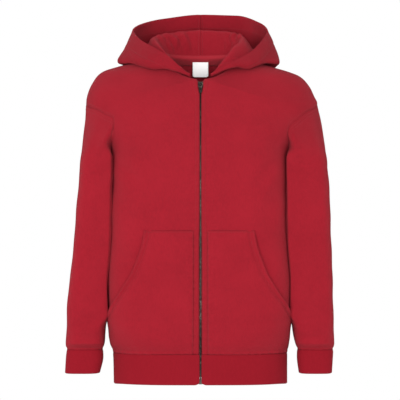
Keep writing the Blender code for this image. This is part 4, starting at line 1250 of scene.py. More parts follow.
def make_hem(cloth):
    """Ribbed hem band, open at the zip."""
    rows = []
    for height in band_heights(HEM_BOTTOM, HEM_TOP, (5, 8, 4)):
        row = []
        for side, face, order in ((RIGHT, FRONT, 1), (RIGHT, BACK, -1),
                                  (LEFT, BACK, 1), (LEFT, FRONT, -1)):
            start = float(middle_around(side, face, np.array(height)))
            around = np.linspace(start, 1.0, HEM_PLACES)[::order]
            lift = undulation(31 + face, side * around * QUARTER_GIRTH, height * 0.5, 0.07,
                              0.0008)
            calm = 1 - 0.9 * ease((around - 0.75) / 0.2)
            points = torso_layer(side, face, around, height, lift * calm)
            sag = blend(HEM_SAG, HEM_SIDE_SAG, ease((around - 0.55) / 0.35))
            sag = sag - HEM_CORNER * ease((around - 0.95) / 0.05)
            if face == FRONT:
                beside = np.abs(points[:, 0]) - GAP(height)
                sag = sag - HEM_ZIP_CORNER * np.exp(-(beside / 0.0030) ** 2)
            points[:, 2] -= sag * (HEM_TOP - height) / (HEM_TOP - HEM_BOTTOM)
            if face == FRONT:
                points[:, 0] -= side * drawn_to_zip(np.abs(points[:, 0]) - GAP(height), height)
            row.append(points)
        rows.append(np.concatenate(row))
    points, uvs = rib_band(np.array(rows), cloth.rib_pitch, cloth.rib_depth, False, (0, 1, 0))
    made = add_band("hem_band_cloth", points, uvs, False, (0, 1, 0), cloth.thickness,
                    ["hem_rib"])


# ---- sleeves, cuffs

# Soft folds of a sleeve: rows from the armhole (0) to the cuff (1), and turns
# from the outer side (0) over the front to the underarm (0.5) and the back.
SLEEVE_FOLDS = {
    RIGHT: table(
        "row turn to_row to_turn width depth",
        (0.16, 0.40, 0.25, 0.18, 0.0085, 0.0018),
        (0.24, 0.44, 0.36, 0.22, 0.0100, 0.0014),
        (0.50, 0.42, 0.56, 0.14, 0.0110, 0.0013),
        (0.66, 0.12, 0.73, 0.38, 0.0100, 0.0013),
        (0.80, 0.40, 0.86, 0.10, 0.0090, 0.0014),
        (0.90, 0.12, 0.925, 0.42, 0.0070, 0.0015),
        (0.20, 0.62, 0.30, 0.85, 0.0100, 0.0020),
        (0.48, 0.60, 0.56, 0.88, 0.0110, 0.0018),
        (0.72, 0.90, 0.80, 0.62, 0.0100, 0.0017),
        (0.88, 0.64, 0.91, 0.90, 0.0080, 0.0017),
    ),
    LEFT: table(
        "row turn to_row to_turn width depth",
        (0.17, 0.42, 0.24, 0.20, 0.0085, 0.0019),
        (0.27, 0.43, 0.41, 0.24, 0.0100, 0.0015),
        (0.46, 0.14, 0.54, 0.40, 0.0110, 0.0012),
        (0.62, 0.42, 0.69, 0.12, 0.0105, 0.0014),
        (0.78, 0.10, 0.84, 0.38, 0.0095, 0.0012),
        (0.895, 0.42, 0.92, 0.14, 0.0070, 0.0016),
        (0.22, 0.86, 0.31, 0.60, 0.0100, 0.0019),
        (0.52, 0.62, 0.60, 0.88, 0.0110, 0.0017),
        (0.74, 0.60, 0.81, 0.88, 0.0100, 0.0018),
        (0.89, 0.90, 0.915, 0.62, 0.0080, 0.0016),
    ),
}
PRESS_TOP = -0.130  # height below which a sleeve's inner side is drawn to the body
PRESS_FOOT = -0.434  # height at which it leaves the body again
CLEAR_TOP = -0.148  # height below which it is kept out of the body
PRESS_REACH = 0.0020  # how far a sleeve's inner side wraps around the body's side
SEAM_TUCK = 0.0025  # of a sleeve's seam allowance under the body
SLEEVE_INSET = 0.0011  # by which a sleeve's folds lie below its plain form
SLEEVE_FOOT = 0.020  # the gathered part above the cuff, with rows of its own
SLEEVE_FOOT_ROWS = 20
SLEEVE_GATHERS = 17  # around the foot
SLEEVE_GATHER_DEPTH = 0.0009


def beside_body(points, side):
    """Sleeve whose inner side rests against the body's side, without entering it."""
    across, out, height = side * points[..., 0], points[..., 1], points[..., 2]
    width, front, square = torso_sizes(side, FRONT, height)
    depth = np.where(out < 0, front, torso_sizes(side, BACK, height)[1])
    wall = width * (1 - np.clip(np.abs(out) / depth, 0, 1) ** square) ** (1 / square)
    turn = np.arange(points.shape[1])[None, :] / points.shape[1]
    inner = ease((0.30 - np.abs(turn - 0.5)) / 0.05)
    target = np.maximum(wall, width - PRESS_REACH) + SEAM
    drawn = (ease((0.22 - np.abs(turn - 0.5)) / 0.09) * ease((height - PRESS_FOOT) / 0.024)
             * ease((PRESS_TOP - height) / 0.03))
    moved = points.copy()
    moved[..., 0] -= side * drawn * np.maximum(across - target, 0)
    clear = inner * ease((CLEAR_TOP - height) / 0.010)
    moved[..., 0] += side * clear * np.maximum(wall + 2 * SEAM - side * moved[..., 0], 0)
    return moved


def armhole_ring(side, count, lift):
    """Points around a sleeve's top, from the tip over the front to the underarm."""
    half = count // 2
    index = np.arange(count)
    share = np.abs(half - index) / half
    ring = np.empty((count, 3))
    for face in (FRONT, BACK):
        chosen = (index <= half) if face == FRONT else (index > half)
        around = ARMHOLE_AROUND[side](share[chosen])
        height = ARMHOLE_HEIGHT[side](share[chosen])
        ring[chosen] = torso_layer(side, face, around, height, np.full(chosen.sum(), lift))
    low = 1 - share
    ring[:, 0] += side * SEAM * low
    return ring


def sleeve_sections(rows, side, heights, count):
    """Level ovals of a sleeve or cuff at the given heights, on its outer face."""
    name = SIDE_NAMES[side]
    outer, inner, front, back = (Curve(rows, column)(heights)[:, None] for column in
                                 ("outer_" + name, "inner_" + name, "front", "back"))
    angle = math.pi / 2 + 2 * math.pi * np.arange(count) / count
    across, out = oval(angle[None, :], (outer - inner) / 2, (back - front) / 2,
                       SQUARE(heights)[:, None])
    level = np.repeat(heights[:, None], count, axis=1)
    return np.stack([side * ((outer + inner) / 2 + across), (front + back) / 2 + out, level],
                    axis=-1)


def make_sleeves(cloth):
    """Both sleeves, hanging beside the body, with folds and a gathered foot."""
    count = cloth.sleeve_columns
    lines = []
    for side, name in SIDE_NAMES.items():
        ring = armhole_ring(side, count, -0.0002)
        first = sleeve_sections(SLEEVE, side, np.array([SLEEVE_HANGS_FREE]), count)[0]
        shoulder = []
        for share in steps(cloth.sleeve_rows // 4)[:-1]:
            turn = np.abs(np.arange(count) / count - 0.5)
            corner = np.exp(-((turn - CORNER_TURN) / CORNER_WIDTH) ** 2)[:, None]
            row = blend(ring, first, blend(ease(share), ease(share / CORNER_END), corner))
            row[:, 2] = blend(ring[:, 2], first[:, 2], share)
            full = SHOULDER_FULLNESS[side] * math.sin(math.pi * min(1.0, share / FULLNESS_END))
            row[:, 0] += side * full * ease(2 * turn)
            shoulder.append(row)
        foot = SLEEVE_END + SLEEVE_FOOT
        heights = np.concatenate([np.linspace(SLEEVE_HANGS_FREE, foot, cloth.sleeve_rows),
                                  np.linspace(foot, SLEEVE_END, SLEEVE_FOOT_ROWS + 1)[1:]])
        points = np.concatenate([np.array(shoulder),
                                 sleeve_sections(SLEEVE, side, heights, count)])
        outside = points[:, 0] - points[:, count // 2]
        normals = grid_normals(points, True)
        sign = 1.0 if float(np.sum(normals[:, 0] * outside)) > 0 else -1.0
        top, foot = from_edge(points, "foot"), from_edge(points, "top")
        turn = np.arange(count)[None, :] / count
        # The inner side, which lies beside the body, stays as it is.
        calm = 1 - 0.93 * ease((0.17 - np.abs(turn - 0.5)) / 0.12)
        calm = calm * ease(top / 0.03)
        girth = np.abs(turn - 0.5) * SLEEVE_GIRTH
        relief = undulation(41 + side, girth, points[..., 2], 0.075, 0.0016)
        wrapped = closed_rows(points)
        for fold in SLEEVE_FOLDS[side]:
            line = surface_line(wrapped, fold.row, fold.turn, fold.to_row, fold.to_turn, 0.02)
            relief = relief + crease(points, line, fold.width, fold.depth)
        relief = (relief - SLEEVE_INSET) * calm
        gathers = np.sin(turn * 2 * math.pi * SLEEVE_GATHERS
                         + 1.8 * np.sin(turn * 2 * math.pi * 3 + side))
        gathers = gathers * SLEEVE_GATHER_DEPTH * np.exp(-foot / 0.010)
        relief = relief + gathers * (0.35 + 0.65 * calm)
        relief = relief * (0.25 + 0.75 * ease(foot / 0.035))
        relief = relief - groove(foot, "sleeve foot") - groove(top, "sleeve top")
        points = beside_body(points + normals * sign * relief[..., None], side)
        tucked = armhole_ring(side, count, -SEAM_TUCK) + unit(points[0] - points[3]) * SEAM_TUCK
        made = add_cloth("sleeve_" + name + "_cloth", np.concatenate([tucked[None], points]),
                         CLOTH_LOOKS, cloth.thickness, ["sleeve_" + name],
                         closed=True, flip=sign < 0)
        lines += [sewn(points, "foot", distance, sign, closed=True) for distance in SEAM_ROWS]
    add_stitches("sleeve_stitches", lines, "thread")


CUFF_PLACES = 240  # at which a cuff's rows are measured


def make_cuffs(cloth):
    """Ribbed cuffs."""
    heights = band_heights(CUFF_BOTTOM, CUFF_TOP, (6, 12, 6))
    for side, name in SIDE_NAMES.items():
        rows = closed_rows(sleeve_sections(CUFF, side, heights, CUFF_PLACES))
        points, uvs = rib_band(rows, cloth.rib_pitch, cloth.rib_depth, True,
                               band_outwards(rows))
        made = add_band("cuff_" + name + "_cloth", points, uvs, True,
                        band_outwards(points), cloth.thickness, ["cuff_" + name])


def band_outwards(rows):
    """Outward direction at the middle place of a closed band."""
    middle = rows[rows.shape[0] // 2]
    return middle[len(middle) // 2] - middle.mean(axis=0)


# ---- hood

NEAR_NECK_ROWS = 90
NEAR_NECK_COLUMNS = 70
NEAR_NECK_FOOT = -0.170

# Folds of the hood: turns in degrees from the front, and places along the cloth
# from the neck seam (0) by crest (1), fall (2), floor (3) and side (4) to the rim (5).
HOOD_FOLDS = {
    RIGHT: table(
        "turn along to_turn to_along width depth",
        (152, 0.86, 163, 0.12, 0.0042, 0.0032),
        (146, 0.66, 139, 0.20, 0.0036, 0.0020),
        (133, 0.74, 142, 0.40, 0.0034, 0.0020),
        (129, 0.50, 131, 0.12, 0.0036, 0.0018),
        (122, 1.05, 134, 0.62, 0.0045, 0.0018),
        (141, 0.98, 148, 0.60, 0.0040, -0.0014),
        (112, 1.10, 120, 0.45, 0.0050, 0.0016),
        (96, 4.15, 118, 4.72, 0.0060, 0.0022),
        (70, 3.60, 96, 4.50, 0.0070, 0.0020),
        (60, 4.20, 82, 4.60, 0.0060, 0.0014),
        (132, 3.45, 150, 4.10, 0.0100, 0.0024),
        (112, 2.90, 128, 3.80, 0.0090, 0.0022),
        (158, 3.10, 165, 4.20, 0.0110, 0.0020),
    ),
    LEFT: table(
        "turn along to_turn to_along width depth",
        (134, 0.98, 125, 0.30, 0.0042, 0.0028),
        (141, 0.62, 133, 0.16, 0.0036, 0.0018),
        (124, 1.08, 116, 0.55, 0.0045, 0.0020),
        (119, 0.52, 123, 0.14, 0.0036, 0.0015),
        (129, 0.90, 121, 0.55, 0.0036, -0.0013),
        (98, 4.20, 116, 4.70, 0.0060, 0.0018),
        (66, 3.60, 92, 4.45, 0.0070, 0.0020),
        (74, 4.40, 100, 4.62, 0.0055, 0.0012),
        (136, 3.50, 152, 4.15, 0.0100, 0.0022),
        (114, 2.95, 126, 3.80, 0.0090, 0.0022),
        (160, 3.00, 168, 4.10, 0.0110, 0.0018),
    ),
}


def yoke_samples():
    """Closely spaced points of the body's outer face near the neck, with normals."""
    depth = NEAR_NECK_FOOT * steps(NEAR_NECK_ROWS)[:, None] ** 1.5
    around = steps(NEAR_NECK_COLUMNS)[None, :]
    depth, around = np.broadcast_arrays(depth, around)
    points, normals = [], []
    for side in (RIGHT, LEFT):
        for face in (FRONT, BACK):
            points.append(torso_point(side, face, around, depth).reshape(-1, 3))
            normals.append(torso_normal(side, face, around, depth).reshape(-1, 3))
    return np.concatenate(points), np.concatenate(normals)


def keep_outside(points, distance):
    """Points pushed out where they are nearer to the body than a distance."""
    places, normals = yoke_samples()
    tree = kdtree.KDTree(len(places))
    for index, place in enumerate(places):
        tree.insert(place, index)
    tree.balance()
    moved = points.reshape(-1, 3).copy()
    for number, point in enumerate(moved):
        for _ in range(3):
            _, index, _ = tree.find(point)
            offset = point - places[index]
            gap = float(offset @ normals[index])
            if gap >= distance or np.linalg.norm(offset - normals[index] * gap) > 3 * distance:
                break
            point = point + normals[index] * (distance - gap)
        moved[number] = point
    return moved.reshape(points.shape)


def hood_share(turn):
    """Place of a turn between the hood's front end (0) and its centre seam (1)."""
    return (turn - HOOD_START) / (180 - HOOD_START)


def hood_grid(side, rows, cells):
    """The hood's middle layer: a row for each turn, from the neck seam to the rim."""
    turn = blend(HOOD_START, 180.0, steps(rows))
    angle = np.radians(turn)
    seam = np.empty((len(turn), 3))
    for face in (FRONT, BACK):
        chosen = (turn < 90) if face == FRONT else (turn >= 90)
        local = angle[chosen] if face == FRONT else math.pi - angle[chosen]
        height, around = neckline(side, face, local)
        seam[chosen] = torso_layer(side, face, around, height,
                                   np.full(chosen.sum(), -FLEECE / 2))
    outwards = np.stack([side * np.sin(angle), -np.cos(angle), 0 * angle], axis=1)
    seam = seam - outwards * HOOD_CLOTH / 2
    seam[:, 2] += FLEECE / 2 + 3 * SEAM
    stations = [seam]
    taper = blend(0.34, 1.0, ease((turn - HOOD_START) / 22))
    for place in HOOD_PLACES:
        out = HOOD_CURVES[side, place + "_out"](turn) * taper
        station = seam + outwards * out[:, None]
        station[:, 2] += HOOD_CURVES[side, place + "_up"](turn) * taper
        stations.append(station)
    return smooth_path(stations, cells), turn


def make_hood(cloth):
    """Two halves of the hood, sewn over the middle, with a deep hem at the rim."""
    cells = cloth.hood_cells
    lines = []
    for side, name in SIDE_NAMES.items():
        points, turn = hood_grid(side, cloth.hood_rows, cells)
        points[:, cells:] = keep_outside(points[:, cells:], HOOD_OVER_BODY)
        along = np.arange(points.shape[1])[None, :] / cells
        relief = undulation(51 + side, hood_share(turn[:, None]) * HOOD_RUN,
                            along * HOOD_STATION, 0.075, 0.0022)
        relief = relief * ease(along / 0.6) * ease((5 - along) / 0.5 + 0.25)
        for fold in HOOD_FOLDS[side]:
            line = surface_line(points, hood_share(fold.turn), fold.along / 5,
                                hood_share(fold.to_turn), fold.to_along / 5, 0.008)
            relief = relief + crease(points, line, fold.width, fold.depth)
        rim = from_edge(points, "last")
        centre = from_edge(points, "top")
        relief = relief * ease(rim / 0.02 + 0.3)
        normals = grid_normals(points)
        sign = hood_sign(points, normals, turn, side)
        relief = relief - groove(rim - cloth.hood_hem, "hood hem")
        relief = relief - groove(centre, "hood centre")
        points = points + normals * (sign * relief)[..., None]
        points[-1, :, 0] = 0.0
        made = add_cloth("hood_" + name + "_cloth", points, HOOD_LOOKS, HOOD_WALL,
                         ["hood_" + name], flip=sign < 0, offset=0.0)
        edge = made.modifiers.new("Turned edge", "BEVEL")
        edge.width = 0.0009
        edge.segments = 2
        edge.limit_method = "ANGLE"
        edge.angle_limit = math.radians(60)
        for facing in (sign, -sign):
            surface = points + grid_normals(points) * (facing * HOOD_WALL / 2)
            for edge, distance in (("last", cloth.hood_hem), ("top", CENTRE_ROW)):
                lines.append(sewn(surface, edge, distance, facing, (1, 1)))
    add_stitches("hood_stitches", lines, "thread")


def hood_sign(points, normals, turn, side):
    """Whether the normals (1) point to the outside of the hood, judged at its back."""
    judged = 150
    row = int(np.argmin(np.abs(turn - judged)))
    column = int(points.shape[1] * 0.75)
    angle = math.radians(judged)
    outwards = np.array([side * math.sin(angle), -math.cos(angle), 0])
    return 1.0 if float(normals[row, column] @ outwards) > 0 else -1.0


# ---- zip and tab

TOOTH_PITCH = 0.0019  # between two teeth of the same side
TOOTH_SIZE = (0.0036, 0.0021, 0.00080)
TOOTH_REACH = 0.00095  # how far a tooth goes past the middle


def zip_point(across, depth, height):
    """Points behind the front's middle line, at a depth from its outer face."""
    points = torso_layer(LEFT, FRONT, 0.0, height, -depth)
    points[..., 0] += across
    return points


def zip_tilt():
    """Lean of the front's middle line at the slider, from upright."""
    reach = SLIDER_LENGTH / 2
    upper = zip_point(0, 0, SLIDER_HEIGHT + reach)
    lower = zip_point(0, 0, SLIDER_HEIGHT - reach)
    return math.atan2(upper[1] - lower[1], upper[2] - lower[2])


def slider_frame():
    """Place of the slider: its own Z runs along the teeth, and -Y faces out."""
    return (Matrix.Translation(Vector(zip_point(0, 0, SLIDER_HEIGHT)))
            @ Matrix.Rotation(-zip_tilt(), 4, "X"))


def make_zip_tapes():
    """Woven tapes behind both front edges, with a corded inner edge."""
    heights = np.linspace(HEM_BOTTOM + SEAM, ZIP_TOP, 150)
    for side, name in SIDE_NAMES.items():
        start = CHAIN_HALF_WIDTH + SEAM
        places = start + (TAPE_WIDTH - start) * steps(14)
        depth = blend(CHAIN_DEPTH, TAPE_DEPTH, ease((places - start) / 0.0022))
        points = np.stack([zip_point(side * place, into, heights)
                           for place, into in zip(places, depth)], axis=1)
        made = add_cloth("zip_tape_" + name + "_cloth", points, ["tape"], TAPE_THICKNESS,
                         ["zip_tape_" + name], outwards=(0, -1, 0), offset=0.0)


def tooth_form():
    """One tooth: a clamp on the tape's edge that narrows to a rounded head."""
    width, depth, height = TOOTH_SIZE
    form = bmesh.new()
    bmesh.ops.create_cube(form, size=1.0)
    long_edges = [edge for edge in form.edges
                  if abs(edge.verts[0].co.x - edge.verts[1].co.x) > 0.5]
    bmesh.ops.subdivide_edges(form, edges=long_edges, cuts=2)
    for vert in form.verts:
        inner = vert.co.x + 0.5
        size = 1.0 if inner < 0.5 else (0.78 if inner < 0.9 else 0.62)
        vert.co = Vector((vert.co.x * width, vert.co.y * depth * size,
                          vert.co.z * height * (1.25 if inner > 0.9 else 1.0)))
    bmesh.ops.bevel(form, geom=form.edges[:], offset=0.00013, segments=1, affect="EDGES")
    return form


def make_teeth():
    """Closed chain of interlocked metal teeth, from the slider to the retainer box."""
    mesh = mesh_of(tooth_form(), "tooth")
    places = np.array([vert.co for vert in mesh.vertices])
    faces = [tuple(face.vertices) for face in mesh.polygons]
    bpy.data.meshes.remove(mesh)
    top = SLIDER_HEIGHT - SLIDER_LENGTH * 0.10
    foot = HEM_BOTTOM + BOX_LENGTH - SEAM
    line = zip_point(0, CHAIN_DEPTH, np.linspace(foot, top, 400))
    line = even_line(line, TOOTH_PITCH / 2)
    teeth = []
    for index in range(1, len(line) - 1):
        side = RIGHT if index % 2 else LEFT
        up = unit(line[index + 1] - line[index - 1])
        out = np.cross(up, (1.0, 0.0, 0.0))
        shift = side * (CHAIN_HALF_WIDTH - (CHAIN_HALF_WIDTH + TOOTH_REACH) / 2)
        teeth.append(line[index] + np.array([shift, 0, 0])
                     + places[:, :1] * np.array([-side, 0, 0])
                     + places[:, 1:2] * out * -1 + places[:, 2:] * up)
    form = form_of([copies_mesh("teeth", teeth, faces)])
    bmesh.ops.recalc_face_normals(form, faces=form.faces[:])
    mesh = mesh_of(form, "zip_teeth")
    mesh.shade_flat()
    add_piece("zip_teeth", mesh, ["teeth"], GARMENT, ["zip_chain"])


def rounded_outline(corners, radius, turns=5):
    """Closed outline in a plane, with its corners rounded."""
    outline = []
    count = len(corners)
    for index in range(count):
        corner = np.array(corners[index], float)
        before = np.array(corners[index - 1], float) - corner
        after = np.array(corners[(index + 1) % count], float) - corner
        reach = min(radius, np.linalg.norm(before) * 0.49, np.linalg.norm(after) * 0.49)
        start, end = corner + unit(before) * reach, corner + unit(after) * reach
        for share in steps(turns):
            outline.append(start * (1 - share) ** 2 + corner * 2 * share * (1 - share)
                           + end * share ** 2)
    return outline


def rounded_box(half_width, start, end, radius):
    """Rounded outline of a box between two heights."""
    return rounded_outline([(-half_width, start), (half_width, start), (half_width, end),
                            (-half_width, end)], radius)


def plate_mesh(name, outlines, near, far, edge):
    """Plate with rounded edges between two depths; later outlines are its holes."""
    curve = bpy.data.curves.new(name, "CURVE")
    curve.dimensions = "2D"
    curve.fill_mode = "BOTH"
    curve.extrude = (far - near) / 2 - edge
    curve.bevel_depth = edge
    curve.bevel_resolution = 2
    curve.offset = -edge
    for outline in outlines:
        spline = curve.splines.new("POLY")
        spline.points.add(len(outline) - 1)
        for point, (across, up) in zip(spline.points, outline):
            point.co = (across, up, 0, 1)
        spline.use_cyclic_u = True
    holder = add_object(name, curve)
    graph = bpy.context.evaluated_depsgraph_get()
    mesh = bpy.data.meshes.new_from_object(holder.evaluated_get(graph))
    bpy.data.objects.remove(holder)
    bpy.data.curves.remove(curve)
    mesh.transform(Matrix.Translation((0, (near + far) / 2, 0))
                   @ Matrix.Rotation(math.pi / 2, 4, "X"))
    return mesh


def tube_mesh(name, line, width, depth, sides=12):
    """Rounded bar along a line that lies in the plane across X."""
    points = []
    line = np.array(line, float)
    for index, place in enumerate(line):
        along = unit(line[min(index + 1, len(line) - 1)] - line[max(index - 1, 0)])
        aside = np.cross(along, (1.0, 0.0, 0.0))
        ring = []
        for angle in 2 * math.pi * np.arange(sides) / sides:
            across, out = oval(angle, width / 2, depth / 2, 3.0)
            ring.append(place + np.array([1.0, 0, 0]) * float(across) + aside * float(out))
        points.append(ring)
    form = form_of([grid_mesh(name, np.array(points), True)])
    bmesh.ops.holes_fill(form, edges=[edge for edge in form.edges if edge.is_boundary])
    bmesh.ops.recalc_face_normals(form, faces=form.faces[:])
    return mesh_of(form, name)


def add_metal(name, meshes, body, matrix, replaced):
    """One metal piece made of several closed bodies."""
    form = form_of(meshes)
    bmesh.ops.transform(form, matrix=matrix, verts=form.verts[:])
    bmesh.ops.remove_doubles(form, verts=form.verts[:], dist=0.000004)
    bmesh.ops.recalc_face_normals(form, faces=form.faces[:])
    mesh = mesh_of(form, name)
    mesh.shade_smooth()
    made = add_piece(name, mesh, ["metal"], body, replaced)
    crisp = made.modifiers.new("Crisp edges", "EDGE_SPLIT")
    crisp.split_angle = math.radians(50)


def make_slider():
    """Zip slider with two plates, side flanges, post and bail, in one metal piece."""
    half = SLIDER_LENGTH / 2
    top, foot = SLIDER_TOP_WIDTH / 2, SLIDER_FOOT_WIDTH / 2
    shield = rounded_outline([(-top, half - 0.0012), (-top * 0.45, half), (0, half - 0.0010),
                              (top * 0.45, half), (top, half - 0.0012), (top, 0.0006),
                              (foot, -half + 0.0006), (foot * 0.6, -half), (-foot * 0.6, -half),
                              (-foot, -half + 0.0006), (-top, 0.0006)], 0.0009)
    near = FRONT_PLATE_FACE
    far = CHAIN_DEPTH + CHAIN_THICKNESS / 2 + SLIDER_CLEARANCE
    post = rounded_outline([(-0.0014, half - 0.0036), (0, half - 0.0046),
                            (0.0014, half - 0.0036), (0.0014, half - 0.0008),
                            (-0.0014, half - 0.0008)], 0.0006)
    pieces = [plate_mesh("front_plate", [shield], near, near + SLIDER_PLATE, 0.0003),
              plate_mesh("back_plate", [shield], far, far + SLIDER_PLATE, 0.0003),
              plate_mesh("post", [post], near + 0.0005, far + 0.0005, 0.0001)]
    for side in (RIGHT, LEFT):
        flange = [(side * (top - 0.0002), 0.0004), (side * (foot - 0.0001), -half + 0.0008),
                  (side * (foot - 0.0008), -half + 0.0008), (side * (top - 0.0009), 0.0004)]
        pieces.append(plate_mesh("flange", [rounded_outline(flange, 0.0003)], near + 0.0006,
                                 near + 0.0017, 0.0002))
    arch = []
    for share in steps(24):
        angle = math.pi * share
        rise = BAIL_RISE * abs(math.sin(angle)) ** 0.45 if 0 < share < 1 else 0
        along = math.copysign(abs(math.cos(angle)) ** 0.6, math.cos(angle))
        arch.append((0, near + 0.0004 - rise, along * BAIL_HALF_LENGTH))
    pieces.append(tube_mesh("bail", arch, BAIL_WIDTH * 1.1, BAIL_WIDTH * 0.95))
    add_metal("zip_slider_metal", pieces, GARMENT, slider_frame(), ["zip_slider"])


def make_zip_box():
    """Retainer box and pin at the foot of the zip."""
    half = BOX_LENGTH / 2
    box = rounded_box(CHAIN_HALF_WIDTH - 0.0001, -half, half, 0.0007)
    pin = rounded_box(0.0003, -half + 0.0012, half - 0.0004, 0.0002)
    place = Matrix.Translation(Vector(zip_point(0, 0, HEM_BOTTOM + 0.0005 + half)))
    far = FLEECE + SEAM + CHAIN_THICKNESS
    add_metal("zip_box_metal", [plate_mesh("box", [box], 0.0010, far, 0.0004),
                                plate_mesh("pin", [pin], 0.0008, 0.0016, 0.0001)],
              GARMENT, place, ["zip_box"])


def make_pull_tab():
    """Pull tab: a stamped plate with an eye for the bail and a long hole."""
    half = PULL_WIDTH / 2
    crown = 0.00055
    eye_foot = -(PULL_AXIS_HEIGHT + BAIL_HALF_LENGTH + BAIL_WIDTH + 0.0006)
    outer = rounded_outline([(-half * 0.86, crown), (half * 0.86, crown),
                             (half, -0.0030), (half * 0.80, eye_foot - 0.0010),
                             (half, -PULL_LENGTH + 0.0030), (half * 0.75, -PULL_LENGTH),
                             (-half * 0.75, -PULL_LENGTH), (-half, -PULL_LENGTH + 0.0030),
                             (-half * 0.80, eye_foot - 0.0010), (-half, -0.0030)], 0.0012)
    eye = rounded_box(0.00105, -crown, eye_foot, 0.0005)
    slot = rounded_box(0.0012, eye_foot - 0.0036, -PULL_LENGTH + 0.0022, 0.0011)
    thick = PULL_THICKNESS / 2
    pieces = [plate_mesh("tab", [outer, eye, slot], -thick, thick, 0.00028)]
    matrix = slider_frame() @ Matrix.Translation((0, PULL_AXIS_DEPTH, PULL_AXIS_HEIGHT))
    add_metal("zip_pull_metal", pieces, PULL_TAB, matrix, ["zip_pull"])


# ---- neck tape and label

def make_neck_tape():
    """Twill tape over the back neck seam, sewn along both edges."""
    turns = np.linspace(-80.0, 80.0, 161)
    tops, middles, lowers = [], [], []
    for turn in turns:
        side = LEFT if turn >= 0 else RIGHT
        angle = math.radians(abs(turn))
        height, around = neckline(side, BACK, angle)
        outwards = np.array([side * math.sin(angle), math.cos(angle), 0])
        seam = torso_layer(side, BACK, around, height, -FLEECE)
        lower_height = height - 0.0075
        lower_around = around_at(side, BACK, abs(seam[0]) * 1.02, lower_height)
        lowers.append(torso_layer(side, BACK, lower_around, lower_height, -FLEECE - 0.0036))
        tops.append(seam + np.array([0, 0, FLEECE + 0.0030]) - outwards * (HOOD_CLOTH + 0.0012))
        middles.append(seam - outwards * (HOOD_CLOTH * 0.6 + 0.0012)
                       + np.array([0, 0, -0.0008]))
    points = smooth_path([np.array(tops), np.array(middles), np.array(lowers)], 8)
    made = add_cloth("neck_tape_cloth", points, ["neck_tape"], NECK_TAPE_CLOTH,
                     ["neck_tape"], outwards=(0, -1, 0), offset=0.0)
    sign = outward_sign(points, (0, -1, 0))
    surface = points + grid_normals(points) * (sign * NECK_TAPE_CLOTH / 2)
    lines = [sewn(surface, edge, NECK_TAPE_ROW, sign, (1, 1)) for edge in ("first", "last")]
    add_stitches("neck_tape_stitches", lines, "thread")


def make_label():
    """Bare woven label that hangs from the neck tape, sewn on at its top."""
    across, down = np.meshgrid(steps(40), steps(40))
    flare = (down ** 2) * 0.0015 + 0.0006 * np.sin(across * math.pi) * down
    corner = np.abs(across - 0.5) * 2
    low = np.clip((down - 0.6) / 0.4, 0, 1)
    curl = 0.0007 * np.clip((corner - 0.75) / 0.25, 0, 1) ** 2 * low
    round_off = 0.0024 * np.clip((corner - 0.80) / 0.20, 0, 1) ** 2
    points = np.stack([(across - 0.5) * LABEL_WIDTH,
                       LABEL_OUT + flare * 0.8 - curl,
                       LABEL_TOP - down * (LABEL_HEIGHT - round_off)], axis=-1)
    made = add_cloth("neck_label_cloth", points[::-1], ["label"], LABEL_CLOTH,
                     ["neck_label"], outwards=(0, -1, 0), offset=0.0)
    surface = points + np.array([0, -LABEL_CLOTH / 2, 0])
    out = np.array([0.0, -1.0, 0.0])
    lines = []
    for rows, columns in ((slice(2, 3), slice(2, 39)), (slice(2, 39), slice(2, 3)),
                          (slice(2, 39), slice(38, 39))):
        line = surface[rows, columns].reshape(-1, 3)
        lines.append((line, np.tile(out, (len(line), 1))))
    add_stitches("label_stitches", lines, "label_thread", length=0.0016,
                 gap=0.0006, radius=0.00016)


# ---- stage

def area_light(name, place, target, size, power):
    """Soft square light that faces a point."""
    data = bpy.data.lights.new(name, "AREA")
    data.shape = "SQUARE"
    data.size = size
    data.energy = power
    made = add_object(name, data)
    made.location = place
    made.rotation_euler = (Vector(target) - Vector(place)).to_track_quat("-Z", "Y").to_euler()


def make_stage(settings):
    """Plain pale floor, even surround, soft lights and the camera."""
    scene = bpy.context.scene
    form = bmesh.new()
    bmesh.ops.create_circle(form, cap_ends=True, segments=96, radius=settings.floor_radius)
    floor = add_object("floor", mesh_of(form, "floor"))
    floor.location.z = settings.floor_height
    nodes = Nodes("pale floor")
    nodes.set(Roughness=0.85)
    cloud = nodes.noise(nodes.place(), 3.0, 2.0)
    nodes.set(Base_Color=nodes.mixed(cloud, (0.80, 0.80, 0.80, 1.0), (0.84, 0.84, 0.84, 1.0)))
    floor.data.materials.append(nodes.material)

    world = bpy.data.worlds.new("even surround")
    world.use_nodes = True
    surround = world.node_tree.nodes["Background"]
    surround.inputs["Color"].default_value = (1.0, 1.0, 1.0, 1.0)
    surround.inputs["Strength"].default_value = settings.surround
    scene.world = world
    scene.view_settings.view_transform = "Standard"

    middle = (0.0, 0.0, -0.22)
    area_light("key", (-1.5, -2.7, 0.15), middle, 1.0, settings.key_power)
    area_light("fill", (0.15, -3.4, -0.20), middle, 1.0, settings.fill_power)

    data = bpy.data.cameras.new("front view")
    data.lens = settings.lens
    data.sensor_width = 36.0
    data.clip_end = 50.0
    camera = add_object("front view", data)
    camera.location = (-0.0008, -settings.camera_distance, settings.camera_height)
    camera.rotation_euler = (math.pi / 2, 0.0, 0.0)
    scene.camera = camera


# ---- add-on classes

def length_setting(name, description, default, low, high, precision=4):
    """Setting in metres."""
    return bpy.props.FloatProperty(name=name, description=description, default=default,
                                   min=low, max=high, precision=precision,
                                   subtype="DISTANCE", unit="LENGTH")


def count_setting(name, description, default, low, high, step=1):
    """Setting that is a whole number."""
    return bpy.props.IntProperty(name=name, description=description, default=default,
                                 min=low, max=high, step=step)


def colour_setting(name, description, default):
    """Setting that is a colour."""
    return bpy.props.FloatVectorProperty(name=name, description=description, default=default,
                                         size=3, subtype="COLOR", min=0.0, max=1.0)


